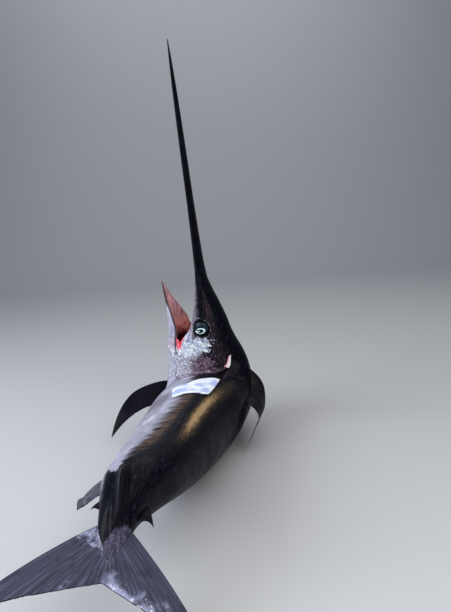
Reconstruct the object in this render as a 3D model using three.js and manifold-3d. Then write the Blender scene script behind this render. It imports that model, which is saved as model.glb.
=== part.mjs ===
// Swordfish, a still life-size model: the caught fish lies on its right side with its head raised.
// Millimetres. Z is up and the floor is Z = 0. The body runs away along +Y from the tail to the head,
// the belly is on the -X side and the back on the +X side.
import * as THREE from 'three'
import Module from 'manifold-3d'

const wasm = await Module()
wasm.setup()

// The whole fish. Places along it are shares of this length, from the lower jaw's tip (0) to the fork (1).
const LENGTH = 1400
const SWORD_REACH = 0.4895
const GAP = 0.3
const SKIN_SINK = 4

// The pose: bearings, slopes and rolls in degrees of each length of the fish, looking towards the head.
const FORK_PLACE = [-55.16, -533.12, 131]
const BEARING = { head: 25.2, shoulder: 12, trunk: 8.7, rear: 8.7, tail: 6 }
const SLOPE = { head: 98.2, shoulder: 2.8, trunk: -5.1, rear: -10.2, tail: 22.4 }
const ROLL = { head: 10, shoulder: -11.9, trunk: -11.9, rear: -11.9, tail: 19.6 }
const NECK = [0.164, 0.319]
const CHEST = [0.30, 0.50]
const WAIST = [0.50, 0.75]
const STALK_TWIST = [0.80, 0.96]

// Where the lengths of the body part.
const SNOUT = -0.03
const SHOULDER_END = 0.36
const CHEST_END = 0.50
const FLANK_END = 0.64
const REAR_END = 0.80
const STALK_END = 0.958

// Outline of the body as shares of LENGTH: [place, size].
const BACK = [[-0.03, 0.0098], [0, 0.0125], [0.0265, 0.021], [0.055, 0.032], [0.0925, 0.0445], [0.121, 0.0515],
  [0.145, 0.0605], [0.17, 0.0725], [0.20, 0.0855], [0.24, 0.0955], [0.30, 0.1035], [0.38, 0.1025],
  [0.50, 0.0890], [0.62, 0.0785], [0.74, 0.0655], [0.80, 0.0545], [0.84, 0.0445], [0.90, 0.0275],
  [0.935, 0.0195], [0.958, 0.0100], [0.97, 0.006]]
const PALATE = [[-0.03, 0.0092], [0, 0.0105], [0.017, 0.0125], [0.05, 0.0205], [0.085, 0.031],
  [0.103, 0.0395], [0.124, 0.0512], [0.1415, 0.0622], [0.15, 0.0660]]
const THROAT = [[0.14, 0.0955], [0.165, 0.099], [0.20, 0.1025], [0.235, 0.104], [0.30, 0.1025], [0.38, 0.1000],
  [0.50, 0.0875], [0.62, 0.0770], [0.74, 0.0635], [0.80, 0.0530], [0.84, 0.0435], [0.90, 0.0275],
  [0.935, 0.0195], [0.958, 0.0100], [0.97, 0.006]]
const HALF_WIDTH = [[-0.03, 0.0235], [0, 0.027], [0.05, 0.0345], [0.10, 0.0435], [0.14, 0.0505], [0.18, 0.0575],
  [0.23, 0.0655], [0.30, 0.0731], [0.38, 0.0752], [0.50, 0.0716], [0.62, 0.0615], [0.74, 0.0503],
  [0.80, 0.0440], [0.84, 0.0400], [0.90, 0.0278], [0.935, 0.0165], [0.96, 0.0055]]
const PALATE_END = 0.1415
const THROAT_START = 0.1495

// The sword: half thickness and half width in mm against its share of the way to the tip.
const SWORD_THICK = [[0, 13.3], [0.08, 11.5], [0.3, 8.3], [0.52, 7.3], [0.74, 5.6], [0.92, 3.0], [1, 1.0]]
const SWORD_WIDE = [[0, 32.9], [0.08, 30], [0.3, 25], [0.52, 21], [0.74, 16], [0.92, 8.5], [1, 1.6]]

// The open lower jaw: depth below the middle line of its outer edge and of its rim, and its half width.
const JAW_OUTER = [[0, 0.0925], [0.025, 0.0893], [0.058, 0.0860], [0.092, 0.087], [0.13, 0.0914], [0.165, 0.0955]]
const JAW_RIM = [[0, 0.0905], [0.035, 0.0828], [0.07, 0.0712], [0.103, 0.0618], [0.144, 0.0632], [0.165, 0.0660]]
const JAW_HALF = [[0, 0.0018], [0.035, 0.0145], [0.07, 0.0265], [0.103, 0.036], [0.144, 0.0435], [0.165, 0.0465]]
// The far rim of the jaw is pressed up by the floor, in mm.
const JAW_LEAN = [[0, 0], [0.05, 5], [0.085, 10], [0.11, 9], [0.135, 4], [0.165, 0]]
const JAW_WALL = 5
const JAW_FLOOR = 8

// Head details in mm: the eye, its socket, the nostrils, the gullet and the gill slit.
const EYE_AT = [0.101, -0.0023]
const EYE_RADIUS = 25
const EYE_DEPTH = 16
const EYE_BULGE = 3
const SOCKET_RIM = 2.6
const NOSTRILS = [[0.066, 0.012, 2.4], [0.0745, 0.0125, 3.2]]
const NOSTRIL = { sunk: 0.965, squash: 0.7, depth: 3 }
const GULLET = { from: 0.118, to: 0.205, depth: 0.0770, high: 0.0135, wide: 0.029 }
// The gill cover's rear edge: degrees round the body from the back, place along it.
const GILL_EDGE = [[0, 0.172], [30, 0.166], [43, 0.169], [56, 0.197], [75, 0.235], [98, 0.252],
  [125, 0.238], [150, 0.21], [180, 0.20]]
const COVER_SWELL = 4
const SHOULDER_DIP = 5
// The gill filaments: from and to in degrees, radius and height over the skin in mm, and the share of
// the radius at their ends.
const GILL_ROPE = { from: 42, to: 60, radius: 7, behind: -0.0035, raised: 1.5, start: 0.3, sides: 8 }

// The flesh is squeezed on the inside of the neck's bend: where, how far along and how much.
const SQUEEZE = { at: 0.245, spread: 0.06, share: 0.27 }

// The keel on each side of the tail stalk.
const KEEL = { from: 0.835, to: 0.957, height: 30, spread: 10 }

// Points round a section.
const ROUND = 40

const group = new THREE.Group()
const radians = Math.PI / 180

function smooth(x, a, b) {
  const t = Math.min(1, Math.max(0, (x - a) / (b - a)))
  return t * t * (3 - 2 * t)
}

function mix(a, b, t) {
  return a + (b - a) * t
}

// A curve through the given places that never overshoots between them.
function curve(points) {
  const x = points.map((p) => p[0])
  const y = points.map((p) => p[1])
  const n = x.length
  const slope = []
  for (let i = 0; i < n - 1; i++) slope.push((y[i + 1] - y[i]) / (x[i + 1] - x[i]))
  const tangent = [slope[0]]
  for (let i = 1; i < n - 1; i++) {
    const a = slope[i - 1]
    const b = slope[i]
    tangent.push(a * b <= 0 ? 0 : 2 * a * b / (a + b))
  }
  tangent.push(slope[n - 2])
  return (at) => {
    const v = Math.min(x[n - 1], Math.max(x[0], at))
    let i = 0
    while (i < n - 2 && v > x[i + 1]) i++
    const h = x[i + 1] - x[i]
    const t = (v - x[i]) / h
    const t2 = t * t
    const t3 = t2 * t
    return (2 * t3 - 3 * t2 + 1) * y[i] + (t3 - 2 * t2 + t) * h * tangent[i]
      + (3 * t2 - 2 * t3) * y[i + 1] + (t3 - t2) * h * tangent[i + 1]
  }
}

// An angle of the pose at one place along the fish.
function poseAngle(set, s) {
  const t = Math.min(1, Math.max(0, (s - NECK[0]) / (NECK[1] - NECK[0])))
  const neck = 0.5 * t + 0.5 * t * t * (3 - 2 * t)
  let angle = mix(set.head, set.shoulder, neck)
  angle += (set.trunk - set.shoulder) * smooth(s, CHEST[0], CHEST[1])
  angle += (set.rear - set.trunk) * smooth(s, WAIST[0], WAIST[1])
  angle += (set.tail - set.rear) * smooth(s, STALK_TWIST[0], STALK_TWIST[1])
  return angle * radians
}

// Directions at a place: ahead to the snout, towards the back, and towards the fish's left side.
function directions(s) {
  const bearing = poseAngle(BEARING, s)
  const slope = poseAngle(SLOPE, s)
  const roll = poseAngle(ROLL, s)
  const ahead = new THREE.Vector3(
    Math.sin(bearing) * Math.cos(slope), Math.cos(bearing) * Math.cos(slope), Math.sin(slope))
  const level = new THREE.Vector3(
    -Math.sin(bearing) * Math.sin(slope), -Math.cos(bearing) * Math.sin(slope), Math.cos(slope))
  const up = new THREE.Vector3().crossVectors(ahead, level)
  const back = up.clone().multiplyScalar(Math.cos(roll)).addScaledVector(level, -Math.sin(roll))
  const left = level.clone().multiplyScalar(Math.cos(roll)).addScaledVector(up, Math.sin(roll))
  return { ahead, back, left }
}

// The middle line, stepped out once from the fork to the sword's tip and a little behind the fork.
const SPINE_STEP = 0.001
const SPINE_FIRST = 1.1
const spine = []
{
  const at = new THREE.Vector3(...FORK_PLACE).add(new THREE.Vector3(0, 0, -SKIN_SINK))
  const back = directions(1).ahead
  at.addScaledVector(back, -(SPINE_FIRST - 1) * LENGTH)
  for (let s = SPINE_FIRST; s > -0.55; s -= SPINE_STEP) {
    spine.push(at.clone())
    at.addScaledVector(directions(s - SPINE_STEP / 2).ahead, SPINE_STEP * LENGTH)
  }
}

function spineAt(s) {
  const k = Math.min(spine.length - 2, Math.max(0, (SPINE_FIRST - s) / SPINE_STEP))
  const i = Math.floor(k)
  return spine[i].clone().lerp(spine[i + 1], k - i)
}

// A point of the fish: its place along the body, then mm towards the back and towards its left side.
function place(s, back, left) {
  const d = directions(s)
  return spineAt(s).addScaledVector(d.back, back).addScaledVector(d.left, left)
}

const backAt = curve(BACK)
const palateAt = curve(PALATE)
const throatAt = curve(THROAT)
const halfAt = curve(HALF_WIDTH)

function bellyAt(s) {
  return mix(palateAt(s), throatAt(s), smooth(s, PALATE_END, THROAT_START))
}

// The rear edge of the gill cover, for a direction round the body in degrees from the back.
const gillEdgeAt = curve(GILL_EDGE)

function gillEdge(angle) {
  return gillEdgeAt(Math.abs(angle))
}

// How strongly the gill cover stands out, by the direction round the body.
function coverStrength(angle) {
  const side = Math.abs(angle)
  return smooth(side, 30, 48) * (1 - smooth(side, 140, 165))
}

// Swelling of the gill cover towards its rear edge.
function coverRelief(s, angle) {
  const past = Math.min(0, s - gillEdge(angle))
  return coverStrength(angle) * COVER_SWELL * Math.exp(-((past / 0.03) ** 2))
}

// The shoulder's hollow behind the gill cover.
function shoulderRelief(s, angle) {
  const past = Math.max(0, s - gillEdge(angle))
  return -coverStrength(angle) * SHOULDER_DIP * Math.exp(-((past / 0.02) ** 2))
}

// A point of the skin, in mm towards the back and the left, with an optional growth all round.
function skin(s, angle, grow = 0, relief = shoulderRelief(s, angle)) {
  const a = angle * radians
  const c = Math.cos(a)
  const n = Math.sin(a)
  const lower = mix(0.62, 0.92, smooth(s, 0.125, 0.17))
  const power = c < 0 ? mix(0.92, lower, smooth(-c, 0, 0.2)) : 0.92
  const depth = (c > 0 ? backAt(s) : bellyAt(s)) * LENGTH
  const keelShape = smooth(s, KEEL.from, 0.9) * (1 - smooth(s, 0.915, KEEL.to))
  const fromSide = (Math.abs(angle) - 90) / KEEL.spread
  const keel = KEEL.height * keelShape * Math.exp(-fromSide * fromSide)
  const raised = relief + grow
  const back = Math.sign(c) * Math.abs(c) ** power * depth + c * raised
  const squeezed = n > 0 ? SQUEEZE.share * Math.exp(-(((s - SQUEEZE.at) / SQUEEZE.spread) ** 2)) : 0
  const half = halfAt(s) * LENGTH * (1 - squeezed)
  const left = Math.sign(n) * (Math.abs(n) ** power * half + keel) + n * raised
  return [back, left]
}

function skinPoint(s, angle, grow = 0) {
  const [back, left] = skin(s, angle, grow)
  return place(s, back, left)
}

function headPoint(s, angle, grow = 0) {
  const [back, left] = skin(s, angle, grow, coverRelief(s, angle))
  return place(s, back, left)
}

// Meshes and solids
function solidOf(points, faces) {
  const build = (triangles) => {
    const mesh = new wasm.Mesh({
      numProp: 3,
      vertProperties: new Float32Array(points.flatMap((p) => [p.x, p.y, p.z])),
      triVerts: new Uint32Array(triangles.flat()),
    })
    mesh.merge()
    return new wasm.Manifold(mesh)
  }
  const solid = build(faces)
  return solid.volume() > 0 ? solid : build(faces.map(([a, b, c]) => [a, c, b]))
}

function solidOfGeometry(geometry, matrix) {
  const found = new Map()
  const points = []
  const faces = []
  const position = geometry.getAttribute('position')
  const index = geometry.index ? [...geometry.index.array] : [...Array(position.count).keys()]
  const number = index.map((i) => {
    const p = new THREE.Vector3().fromBufferAttribute(position, i).applyMatrix4(matrix)
    const key = [p.x, p.y, p.z].map((v) => Math.round(v * 2000)).join()
    if (!found.has(key)) {
      found.set(key, points.length)
      points.push(p)
    }
    return found.get(key)
  })
  for (let i = 0; i < number.length; i += 3) {
    const [a, b, c] = number.slice(i, i + 3)
    if (a !== b && b !== c && c !== a) faces.push([a, b, c])
  }
  return solidOf(points, faces)
}

// A solid through rings of points, closed by caps: each cap is a list of smaller rings and a last point.
function loft(rings, capStart, capEnd) {
  const points = []
  const faces = []
  const n = rings[0].length
  const first = rings.map((ring) => {
    points.push(...ring)
    return points.length - n
  })
  const band = (a, b) => {
    for (let j = 0; j < n; j++) {
      const k = (j + 1) % n
      faces.push([a + j, b + j, b + k], [a + j, b + k, a + k])
    }
  }
  for (let i = 0; i < rings.length - 1; i++) band(first[i], first[i + 1])
  const close = (from, cap, flip) => {
    let outer = from
    for (const ring of cap.rings) {
      points.push(...ring)
      const inner = points.length - n
      if (flip) band(inner, outer)
      else band(outer, inner)
      outer = inner
    }
    points.push(cap.middle)
    const m = points.length - 1
    for (let j = 0; j < n; j++) {
      const k = (j + 1) % n
      faces.push(flip ? [m, outer + j, outer + k] : [outer + j, m, outer + k])
    }
  }
  close(first[0], capStart, true)
  close(first[first.length - 1], capEnd, false)
  return solidOf(points, faces)
}

function centreOf(ring) {
  const sum = new THREE.Vector3()
  for (const p of ring) sum.add(p)
  return sum.divideScalar(ring.length)
}

function flatCap(ring) {
  return { rings: [], middle: centreOf(ring) }
}

const around = Array.from({ length: ROUND }, (_, j) => {
  const angle = 360 * j / ROUND
  return angle > 180 ? angle - 360 : angle
})

// A length of the body between two places, with flat ends.
function bodyLength(from, to, count, grow = 0) {
  const rings = []
  for (let i = 0; i <= count; i++) {
    rings.push(around.map((angle) => skinPoint(mix(to, from, i / count), angle, grow)))
  }
  return loft(rings, flatCap(rings[0]), flatCap(rings[count]))
}

// The space below the floor
const FLOOR_BOX = solidOfGeometry(new THREE.BoxGeometry(4000, 4000, 400),
  new THREE.Matrix4().makeTranslation(0, 0, -200))

// A ball stretched along the directions of the head at one place.
function headBall(s, back, left, radii, segments) {
  const d = directions(s)
  const at = place(s, back, left)
  const matrix = new THREE.Matrix4().makeBasis(
    d.ahead.clone().multiplyScalar(radii[0]),
    d.back.clone().multiplyScalar(radii[1]),
    d.left.clone().multiplyScalar(radii[2])).setPosition(at)
  return solidOfGeometry(new THREE.SphereGeometry(1, segments, segments / 2), matrix)
}

function largest(solid) {
  const pieces = solid.decompose()
  return pieces.reduce((a, b) => (a.volume() > b.volume() ? a : b))
}

function addNode(name, solid, colour) {
  const mesh = largest(solid).getMesh()
  const geometry = new THREE.BufferGeometry()
  const positions = new Float32Array(mesh.numVert * 3)
  for (let i = 0; i < mesh.numVert; i++) {
    for (let k = 0; k < 3; k++) positions[3 * i + k] = mesh.vertProperties[mesh.numProp * i + k]
  }
  geometry.setAttribute('position', new THREE.BufferAttribute(positions, 3))
  geometry.setIndex(new THREE.BufferAttribute(new Uint32Array(mesh.triVerts), 1))
  geometry.computeVertexNormals()
  const material = new THREE.MeshStandardMaterial({ name, color: new THREE.Color(...colour) })
  const node = new THREE.Mesh(geometry, material)
  node.name = name
  group.add(node)
}

const DARK = [0.05, 0.055, 0.075]
const SLATE = [0.09, 0.09, 0.115]
const PALE = [0.55, 0.52, 0.56]
const FLESH = [0.62, 0.22, 0.22]
const EYE_COLOUR = [0.04, 0.07, 0.09]
const PAPER = [0.85, 0.87, 0.92]

// Sword
const thickAt = curve(SWORD_THICK)
const wideAt = curve(SWORD_WIDE)
const SWORD_ROUND = 24
const swordRings = []
const SWORD_RINGS = 18
for (let i = 0; i <= SWORD_RINGS; i++) {
  const t = i / SWORD_RINGS
  const s = mix(SNOUT - GAP / LENGTH, -SWORD_REACH, t)
  const ring = []
  for (let j = 0; j < SWORD_ROUND; j++) {
    const a = 2 * Math.PI * j / SWORD_ROUND
    const thick = Math.sign(Math.cos(a)) * Math.abs(Math.cos(a)) ** 1.15 * thickAt(t)
    ring.push(place(s, thick, Math.sin(a) * wideAt(t)))
  }
  swordRings.push(ring)
}
addNode('sword', loft(swordRings, flatCap(swordRings[0]), flatCap(swordRings[SWORD_RINGS])), DARK)

// Head, from the snout to the gill covers' edges
const HEAD_RINGS = [-0.03, -0.012, 0.006, 0.024, 0.042, 0.06, 0.078, 0.096, 0.112, 0.126, 0.136,
  PALATE_END, 0.1455, THROAT_START, 0.158]
const HEAD_REAR_RINGS = 6
function headRings(grow) {
  const rings = []
  const fixed = HEAD_RINGS[HEAD_RINGS.length - 1]
  const edge = (angle) => gillEdge(angle) + grow / LENGTH
  for (let i = HEAD_REAR_RINGS; i > 0; i--) {
    rings.push(around.map((angle) => headPoint(mix(fixed, edge(angle), i / HEAD_REAR_RINGS), angle, grow)))
  }
  for (const s of HEAD_RINGS.slice().reverse()) rings.push(around.map((angle) => headPoint(s, angle, grow)))
  return rings
}

// The cap under the gill cover's edge, in rings that get smaller by these shares.
const CAP_SHARES = [0.88, 0.65, 0.35]
function gillCap(shift) {
  const centre = gillEdge(0) + shift
  const inner = CAP_SHARES.map((share) => around.map((angle) => {
    const s = mix(centre, gillEdge(angle) + shift, share * share)
    const [back, left] = skin(gillEdge(angle), angle, 0, 0)
    return place(s, back * share, left * share)
  }))
  return { rings: inner, middle: place(centre, 0, 0) }
}

function headSolid(grow) {
  const rings = headRings(grow)
  return loft(rings, gillCap(grow / LENGTH), flatCap(rings[rings.length - 1]))
}

const eyeBack = EYE_AT[1] * LENGTH
const eyeLeft = halfAt(EYE_AT[0]) * LENGTH - EYE_DEPTH + EYE_BULGE
const gulletMiddle = (GULLET.from + GULLET.to) / 2
let head = headSolid(0)
head = head.subtract(headBall(gulletMiddle, -GULLET.depth * LENGTH, 0,
  [(GULLET.to - GULLET.from) / 2 * LENGTH, GULLET.high * LENGTH, GULLET.wide * LENGTH], 16))

// Jaw: a pointed trough
const jawOuterAt = curve(JAW_OUTER)
const jawRimAt = curve(JAW_RIM)
const jawHalfAt = curve(JAW_HALF)
const jawLeanAt = curve(JAW_LEAN)
const JAW_ARC = 12
const JAW_RINGS = 12
const JAW_POWER = 0.8
const JAW_RIM_STEP = 0.4
const jawRings = []
for (let i = 0; i <= JAW_RINGS; i++) {
  const s = mix(0.165, 0.001, i / JAW_RINGS)
  const outer = jawOuterAt(s) * LENGTH
  const rim = jawRimAt(s) * LENGTH
  const half = jawHalfAt(s) * LENGTH
  const wall = Math.min(JAW_WALL, half * 0.45)
  const floor = Math.min(JAW_FLOOR, (outer - rim) * 0.5)
  const ring = []
  for (let j = 0; j <= JAW_ARC; j++) ring.push(jawPoint(s, j / JAW_ARC, rim, outer, half))
  for (let j = JAW_ARC; j >= 0; j--) {
    ring.push(jawPoint(s, j / JAW_ARC, rim + JAW_RIM_STEP, outer - floor, half - wall))
  }
  jawRings.push(ring)
}

// A point of the jaw's section: share 0 is its left rim, 0.5 its lowest line and 1 its right rim.
function jawPoint(s, share, rim, outer, half) {
  const a = Math.PI * (share - 0.5)
  const c = Math.abs(Math.cos(a)) ** JAW_POWER
  const n = Math.sign(a) * Math.abs(Math.sin(a)) ** JAW_POWER
  const lean = jawLeanAt(s) * smooth(n, 0, 1)
  return place(s, -(rim + (outer - rim) * c) + lean, -n * half)
}

// A solid through rings that are troughs: both ends are closed between the outer and the inner line.
function trough(rings) {
  const points = rings.flat()
  const faces = []
  const n = rings[0].length
  for (let i = 0; i < rings.length - 1; i++) {
    for (let j = 0; j < n; j++) {
      const a = i * n + j
      const b = i * n + (j + 1) % n
      faces.push([a, b, b + n], [a, b + n, a + n])
    }
  }
  const last = (rings.length - 1) * n
  for (let j = 0; j < n / 2 - 1; j++) {
    const k = n - 1 - j
    faces.push([j, k, k - 1], [j, k - 1, j + 1])
    faces.push([last + j, last + k - 1, last + k], [last + j, last + j + 1, last + k - 1])
  }
  return solidOf(points, faces)
}

addNode('lower_jaw', trough(jawRings).subtract(headSolid(GAP)), PALE)

for (const side of [1, -1]) {
  const name = side > 0 ? 'left' : 'right'
  const radii = [EYE_RADIUS, EYE_RADIUS, EYE_DEPTH]
  const eye = headBall(EYE_AT[0], eyeBack, side * eyeLeft, radii, 18)
  head = head.subtract(headBall(EYE_AT[0], eyeBack, side * eyeLeft,
    [EYE_RADIUS + SOCKET_RIM, EYE_RADIUS + SOCKET_RIM, EYE_DEPTH + GAP], 18))
  addNode('eye_' + name, eye, EYE_COLOUR)
  for (const [s, back, radius] of NOSTRILS) {
    head = head.subtract(headBall(s, back * LENGTH, side * halfAt(s) * LENGTH * NOSTRIL.sunk,
      [radius, radius * NOSTRIL.squash, NOSTRIL.depth], 8))
  }
}

// The gill filaments seen in the slit behind each cover, as a rope along a path
const ROPE_TURN = new THREE.Vector3(0.3, 0.9, 0.2)
function rope(path, radiusAt, sides) {
  const rings = path.map((p, i) => {
    const before = path[Math.max(0, i - 1)]
    const after = path[Math.min(path.length - 1, i + 1)]
    const along = after.clone().sub(before).normalize()
    const side = ROPE_TURN.clone().cross(along).normalize()
    const up = along.clone().cross(side)
    const r = radiusAt(i / (path.length - 1))
    return Array.from({ length: sides }, (_, j) => {
      const a = 2 * Math.PI * j / sides
      return p.clone().addScaledVector(side, r * Math.cos(a)).addScaledVector(up, r * Math.sin(a))
    })
  })
  return loft(rings, flatCap(rings[0]), flatCap(rings[rings.length - 1]))
}

function gillRope(side, grow) {
  const path = []
  const steps = 12
  for (let i = 0; i <= steps; i++) {
    const angle = side * mix(GILL_ROPE.from, GILL_ROPE.to, i / steps)
    path.push(skinPoint(gillEdge(angle) + GILL_ROPE.behind, angle, GILL_ROPE.raised))
  }
  const radiusAt = (t) => GILL_ROPE.radius * mix(GILL_ROPE.start, 1, t) + grow
  return rope(path, radiusAt, GILL_ROPE.sides)
}

// The shoulder, and the further lengths of the body
// Two lengths of the body part by this share of LENGTH, a little over GAP because the body bends.
const JOIN_GAP = 0.42 / LENGTH
const COVER_LAP = 0.012
const SHOULDER_COUNT = 10
function shoulderSolid(end, grow) {
  const rings = []
  for (let i = 0; i <= SHOULDER_COUNT; i++) {
    rings.push(around.map((angle) =>
      skinPoint(mix(end, gillEdge(angle) - COVER_LAP, i / SHOULDER_COUNT), angle, grow)))
  }
  return loft(rings, flatCap(rings[0]), gillCap(-COVER_LAP))
}
let shoulder = shoulderSolid(SHOULDER_END - JOIN_GAP, 0).subtract(headSolid(GAP))
for (const side of [1, -1]) {
  const groove = gillRope(side, GAP)
  head = head.subtract(groove)
  shoulder = shoulder.subtract(groove)
  addNode(side > 0 ? 'gill_left' : 'gill_right', gillRope(side, 0), FLESH)
}
addNode('head', head, DARK)
addNode('shoulder', shoulder.subtract(FLOOR_BOX), DARK)

// Each length of the trunk is also kept grown by the gap, to cut what stands on it.
const LENGTHS = [
  ['chest', SHOULDER_END, CHEST_END, 8],
  ['flank', CHEST_END, FLANK_END, 8],
  ['rear', FLANK_END, REAR_END, 9],
  ['tail_stalk', REAR_END, STALK_END, 14],
]
const grown = { head: headSolid(GAP), shoulder: shoulderSolid(SHOULDER_END, GAP) }
for (const [name, from, to, count] of LENGTHS) {
  addNode(name, bodyLength(from, to - JOIN_GAP, count).subtract(FLOOR_BOX), DARK)
  grown[name] = bodyLength(from - JOIN_GAP, to, count, GAP)
}

function standingOn(solid, names) {
  return names.reduce((rest, name) => rest.subtract(grown[name]), solid).subtract(FLOOR_BOX)
}

// A thin solid between two equal grids of points with so many in a row, split into triangles alike.
function sheetSolid(top, under, row) {
  const count = top.length
  const rows = count / row
  const faces = []
  for (let k = 0; k < rows - 1; k++) {
    for (let i = 0; i < row - 1; i++) {
      const a = k * row + i
      const b = a + row
      faces.push([a, a + 1, b + 1], [a, b + 1, b])
      faces.push([count + a, count + b + 1, count + a + 1], [count + a, count + b, count + b + 1])
    }
  }
  const rim = []
  for (let i = 0; i < row - 1; i++) rim.push(i)
  for (let k = 0; k < rows - 1; k++) rim.push(k * row + row - 1)
  for (let i = row - 1; i > 0; i--) rim.push((rows - 1) * row + i)
  for (let k = rows - 1; k > 0; k--) rim.push(k * row)
  rim.forEach((a, i) => {
    const b = rim[(i + 1) % rim.length]
    faces.push([a, count + b, b], [a, count + a, count + b])
  })
  return solidOf([...top, ...under], faces)
}

// Fins: a fan of rays. Each ray runs from the root line to the edge line; crests alternate with hollows.
const THINNEST = 0.8

function bezier(a, b, c, t) {
  const u = 1 - t
  return a.map((v, i) => u * u * v + 2 * u * t * b[i] + t * t * c[i])
}

// A thin fin as a solid. map turns fin coordinates [along the body, away from it] into a point in space.
function finSolid(fin, map) {
  const columns = 2 * fin.rays
  const steps = fin.steps
  const grid = []
  for (let k = 0; k <= columns; k++) {
    const t = k / columns
    const root = fin.root[0].map((v, i) => mix(v, fin.root[1][i], t))
    const end = k === 0 ? fin.tip : bezier(fin.tip, fin.notch, fin.heel, t ** fin.crowd)
    const middle = root.map((v, i) => (v + end[i]) / 2 + fin.bulge[i] * (1 - t) ** 1.5)
    const ray = []
    for (let i = 0; i <= steps; i++) {
      ray.push(map(...bezier(root, middle, end, i / steps)))
    }
    grid.push(ray)
  }
  const thickness = (k, i) => {
    const t = k / columns
    const out = i / steps
    const base = mix(fin.thick[0], fin.thick[1], out) * mix(1, fin.trail, t ** 0.7)
    return Math.max(THINNEST, base + (k % 2 === 0 ? fin.ridge : 0) * (1 - 0.6 * out))
  }
  const top = []
  const under = []
  grid.forEach((ray, k) => ray.forEach((p, i) => {
    const alongRay = grid[k][Math.min(steps, i + 1)].clone().sub(grid[k][Math.max(0, i - 1)])
    const across = grid[Math.min(columns, k + 1)][i].clone().sub(grid[Math.max(0, k - 1)][i])
    const normal = alongRay.cross(across).normalize()
    const half = thickness(k, i) / 2
    top.push(p.clone().addScaledVector(normal, half))
    under.push(p.clone().addScaledVector(normal, -half))
  }))
  return sheetSolid(top, under, steps + 1)
}

// Fins in the fish's middle plane. Sizes are shares of LENGTH: along from the root's front, and out from
// the skin. The droop is how far the fin hangs over to the fish's right side, in degrees per share out.
const MIDDLE_FINS = {
  dorsal_fin: { at: 0.197, sign: 1, root: [[0, -0.012], [0.140, -0.012]], tip: [0.196, 0.115],
    notch: [0.186, 0.0215], heel: [0.173, 0.008], bulge: [-0.043, 0.016], rays: 15, crowd: 0.9, steps: 8,
    thick: [5, 1.6], trail: 0.55, ridge: 1.3, droop: [25, 128, 0.063] },
  second_dorsal_fin: { at: 0.872, sign: 1, root: [[0, -0.006], [0.026, -0.006]], tip: [0.040, 0.022],
    notch: [0.028, 0.010], heel: [0.036, 0.003], bulge: [-0.002, 0.002], rays: 5, crowd: 1, steps: 4,
    thick: [3, 1.2], trail: 0.7, ridge: 0.8, droop: [0, 10, 0.02] },
  anal_fin: { at: 0.662, sign: -1, root: [[0, -0.010], [0.168, -0.010]], tip: [0.238, 0.0285],
    notch: [0.230, 0.012], heel: [0.174, 0.003], bulge: [-0.064, 0.039], rays: 12, crowd: 0.9, steps: 5,
    thick: [3.6, 1.4], trail: 0.6, ridge: 1, droop: [0, 14, 0.05] },
  second_anal_fin: { at: 0.864, sign: -1, root: [[0, -0.006], [0.024, -0.006]], tip: [0.033, 0.0115],
    notch: [0.026, 0.006], heel: [0.031, 0.002], bulge: [-0.002, 0.001], rays: 5, crowd: 1, steps: 4,
    thick: [3, 1.2], trail: 0.7, ridge: 0.8, droop: [0, 10, 0.02] },
}

// Out from the skin along a line that bends over from its first angle to its last within a distance.
function hang(out, droop) {
  const [first, last, within] = droop
  let up = 0
  let over = 0
  const steps = 12
  for (let i = 0; i < steps; i++) {
    const d = out * (i + 0.5) / steps
    const angle = mix(first, last, smooth(d, 0, within)) * radians
    up += Math.cos(angle) * out / steps
    over += Math.sin(angle) * out / steps
  }
  return [up, over]
}

// The dorsal fin bends over and is parted where it starts to hang, some mm to the right of its root.
const HANGING = { from: 28, lengths: [0.16, 0.5], reach: 300 }

const STANDS_ON = {
  dorsal_fin: ['head', 'shoulder', 'chest'],
  anal_fin: ['rear', 'tail_stalk'],
  second_dorsal_fin: ['tail_stalk'],
  second_anal_fin: ['tail_stalk'],
}

// A block on the fish's right side over the hanging part, from some mm beside the middle plane outwards.
function hangingBlock(beside) {
  const rings = []
  const count = 10
  const [from, to] = HANGING.lengths
  const far = HANGING.reach
  for (let i = 0; i <= count; i++) {
    const s = mix(to, from, i / count)
    rings.push([[0, beside], [far, beside], [far, far], [0, far]].map(([back, right]) => place(s, back, -right)))
  }
  return loft(rings, flatCap(rings[0]), flatCap(rings[count]))
}

for (const [name, fin] of Object.entries(MIDDLE_FINS)) {
  const map = (along, out) => {
    const s = fin.at + along
    const edge = fin.sign > 0 ? backAt(s) : bellyAt(s)
    const [up, over] = out < 0 ? [out, 0] : hang(out, fin.droop)
    return place(s, fin.sign * (edge + up) * LENGTH, -over * LENGTH)
  }
  const solid = standingOn(finSolid(fin, map), STANDS_ON[name])
  if (name === 'dorsal_fin') {
    addNode(name, solid.subtract(hangingBlock(HANGING.from)), SLATE)
    addNode('dorsal_fin_hanging', solid.intersect(hangingBlock(HANGING.from + GAP)), SLATE)
  } else {
    addNode(name, solid, SLATE)
  }
}

// Tail fin: two lobes that part at the middle line. Places are along the body and out from the middle line.
const LOBE = { root: [[0.915, 0.010], [0.957, 0.0008]], tip: [1.062, 0.152], notch: [1.028, 0.062],
  heel: [1.0015, 0.0008], bulge: [-0.003, 0.004], rays: 14, crowd: 1.25, steps: 5,
  thick: [12, 2], trail: 0.6, ridge: 1.4 }
const LOBE_DROOP = 0.030
for (const side of [1, -1]) {
  const map = (s, out) => place(s, side * out * LENGTH, -LOBE_DROOP * (out / LOBE.tip[1]) ** 3 * LENGTH)
  const lobe = standingOn(finSolid(LOBE, map), ['tail_stalk'])
  addNode(side > 0 ? 'tail_lobe_back' : 'tail_lobe_belly', lobe, SLATE)
}

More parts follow.
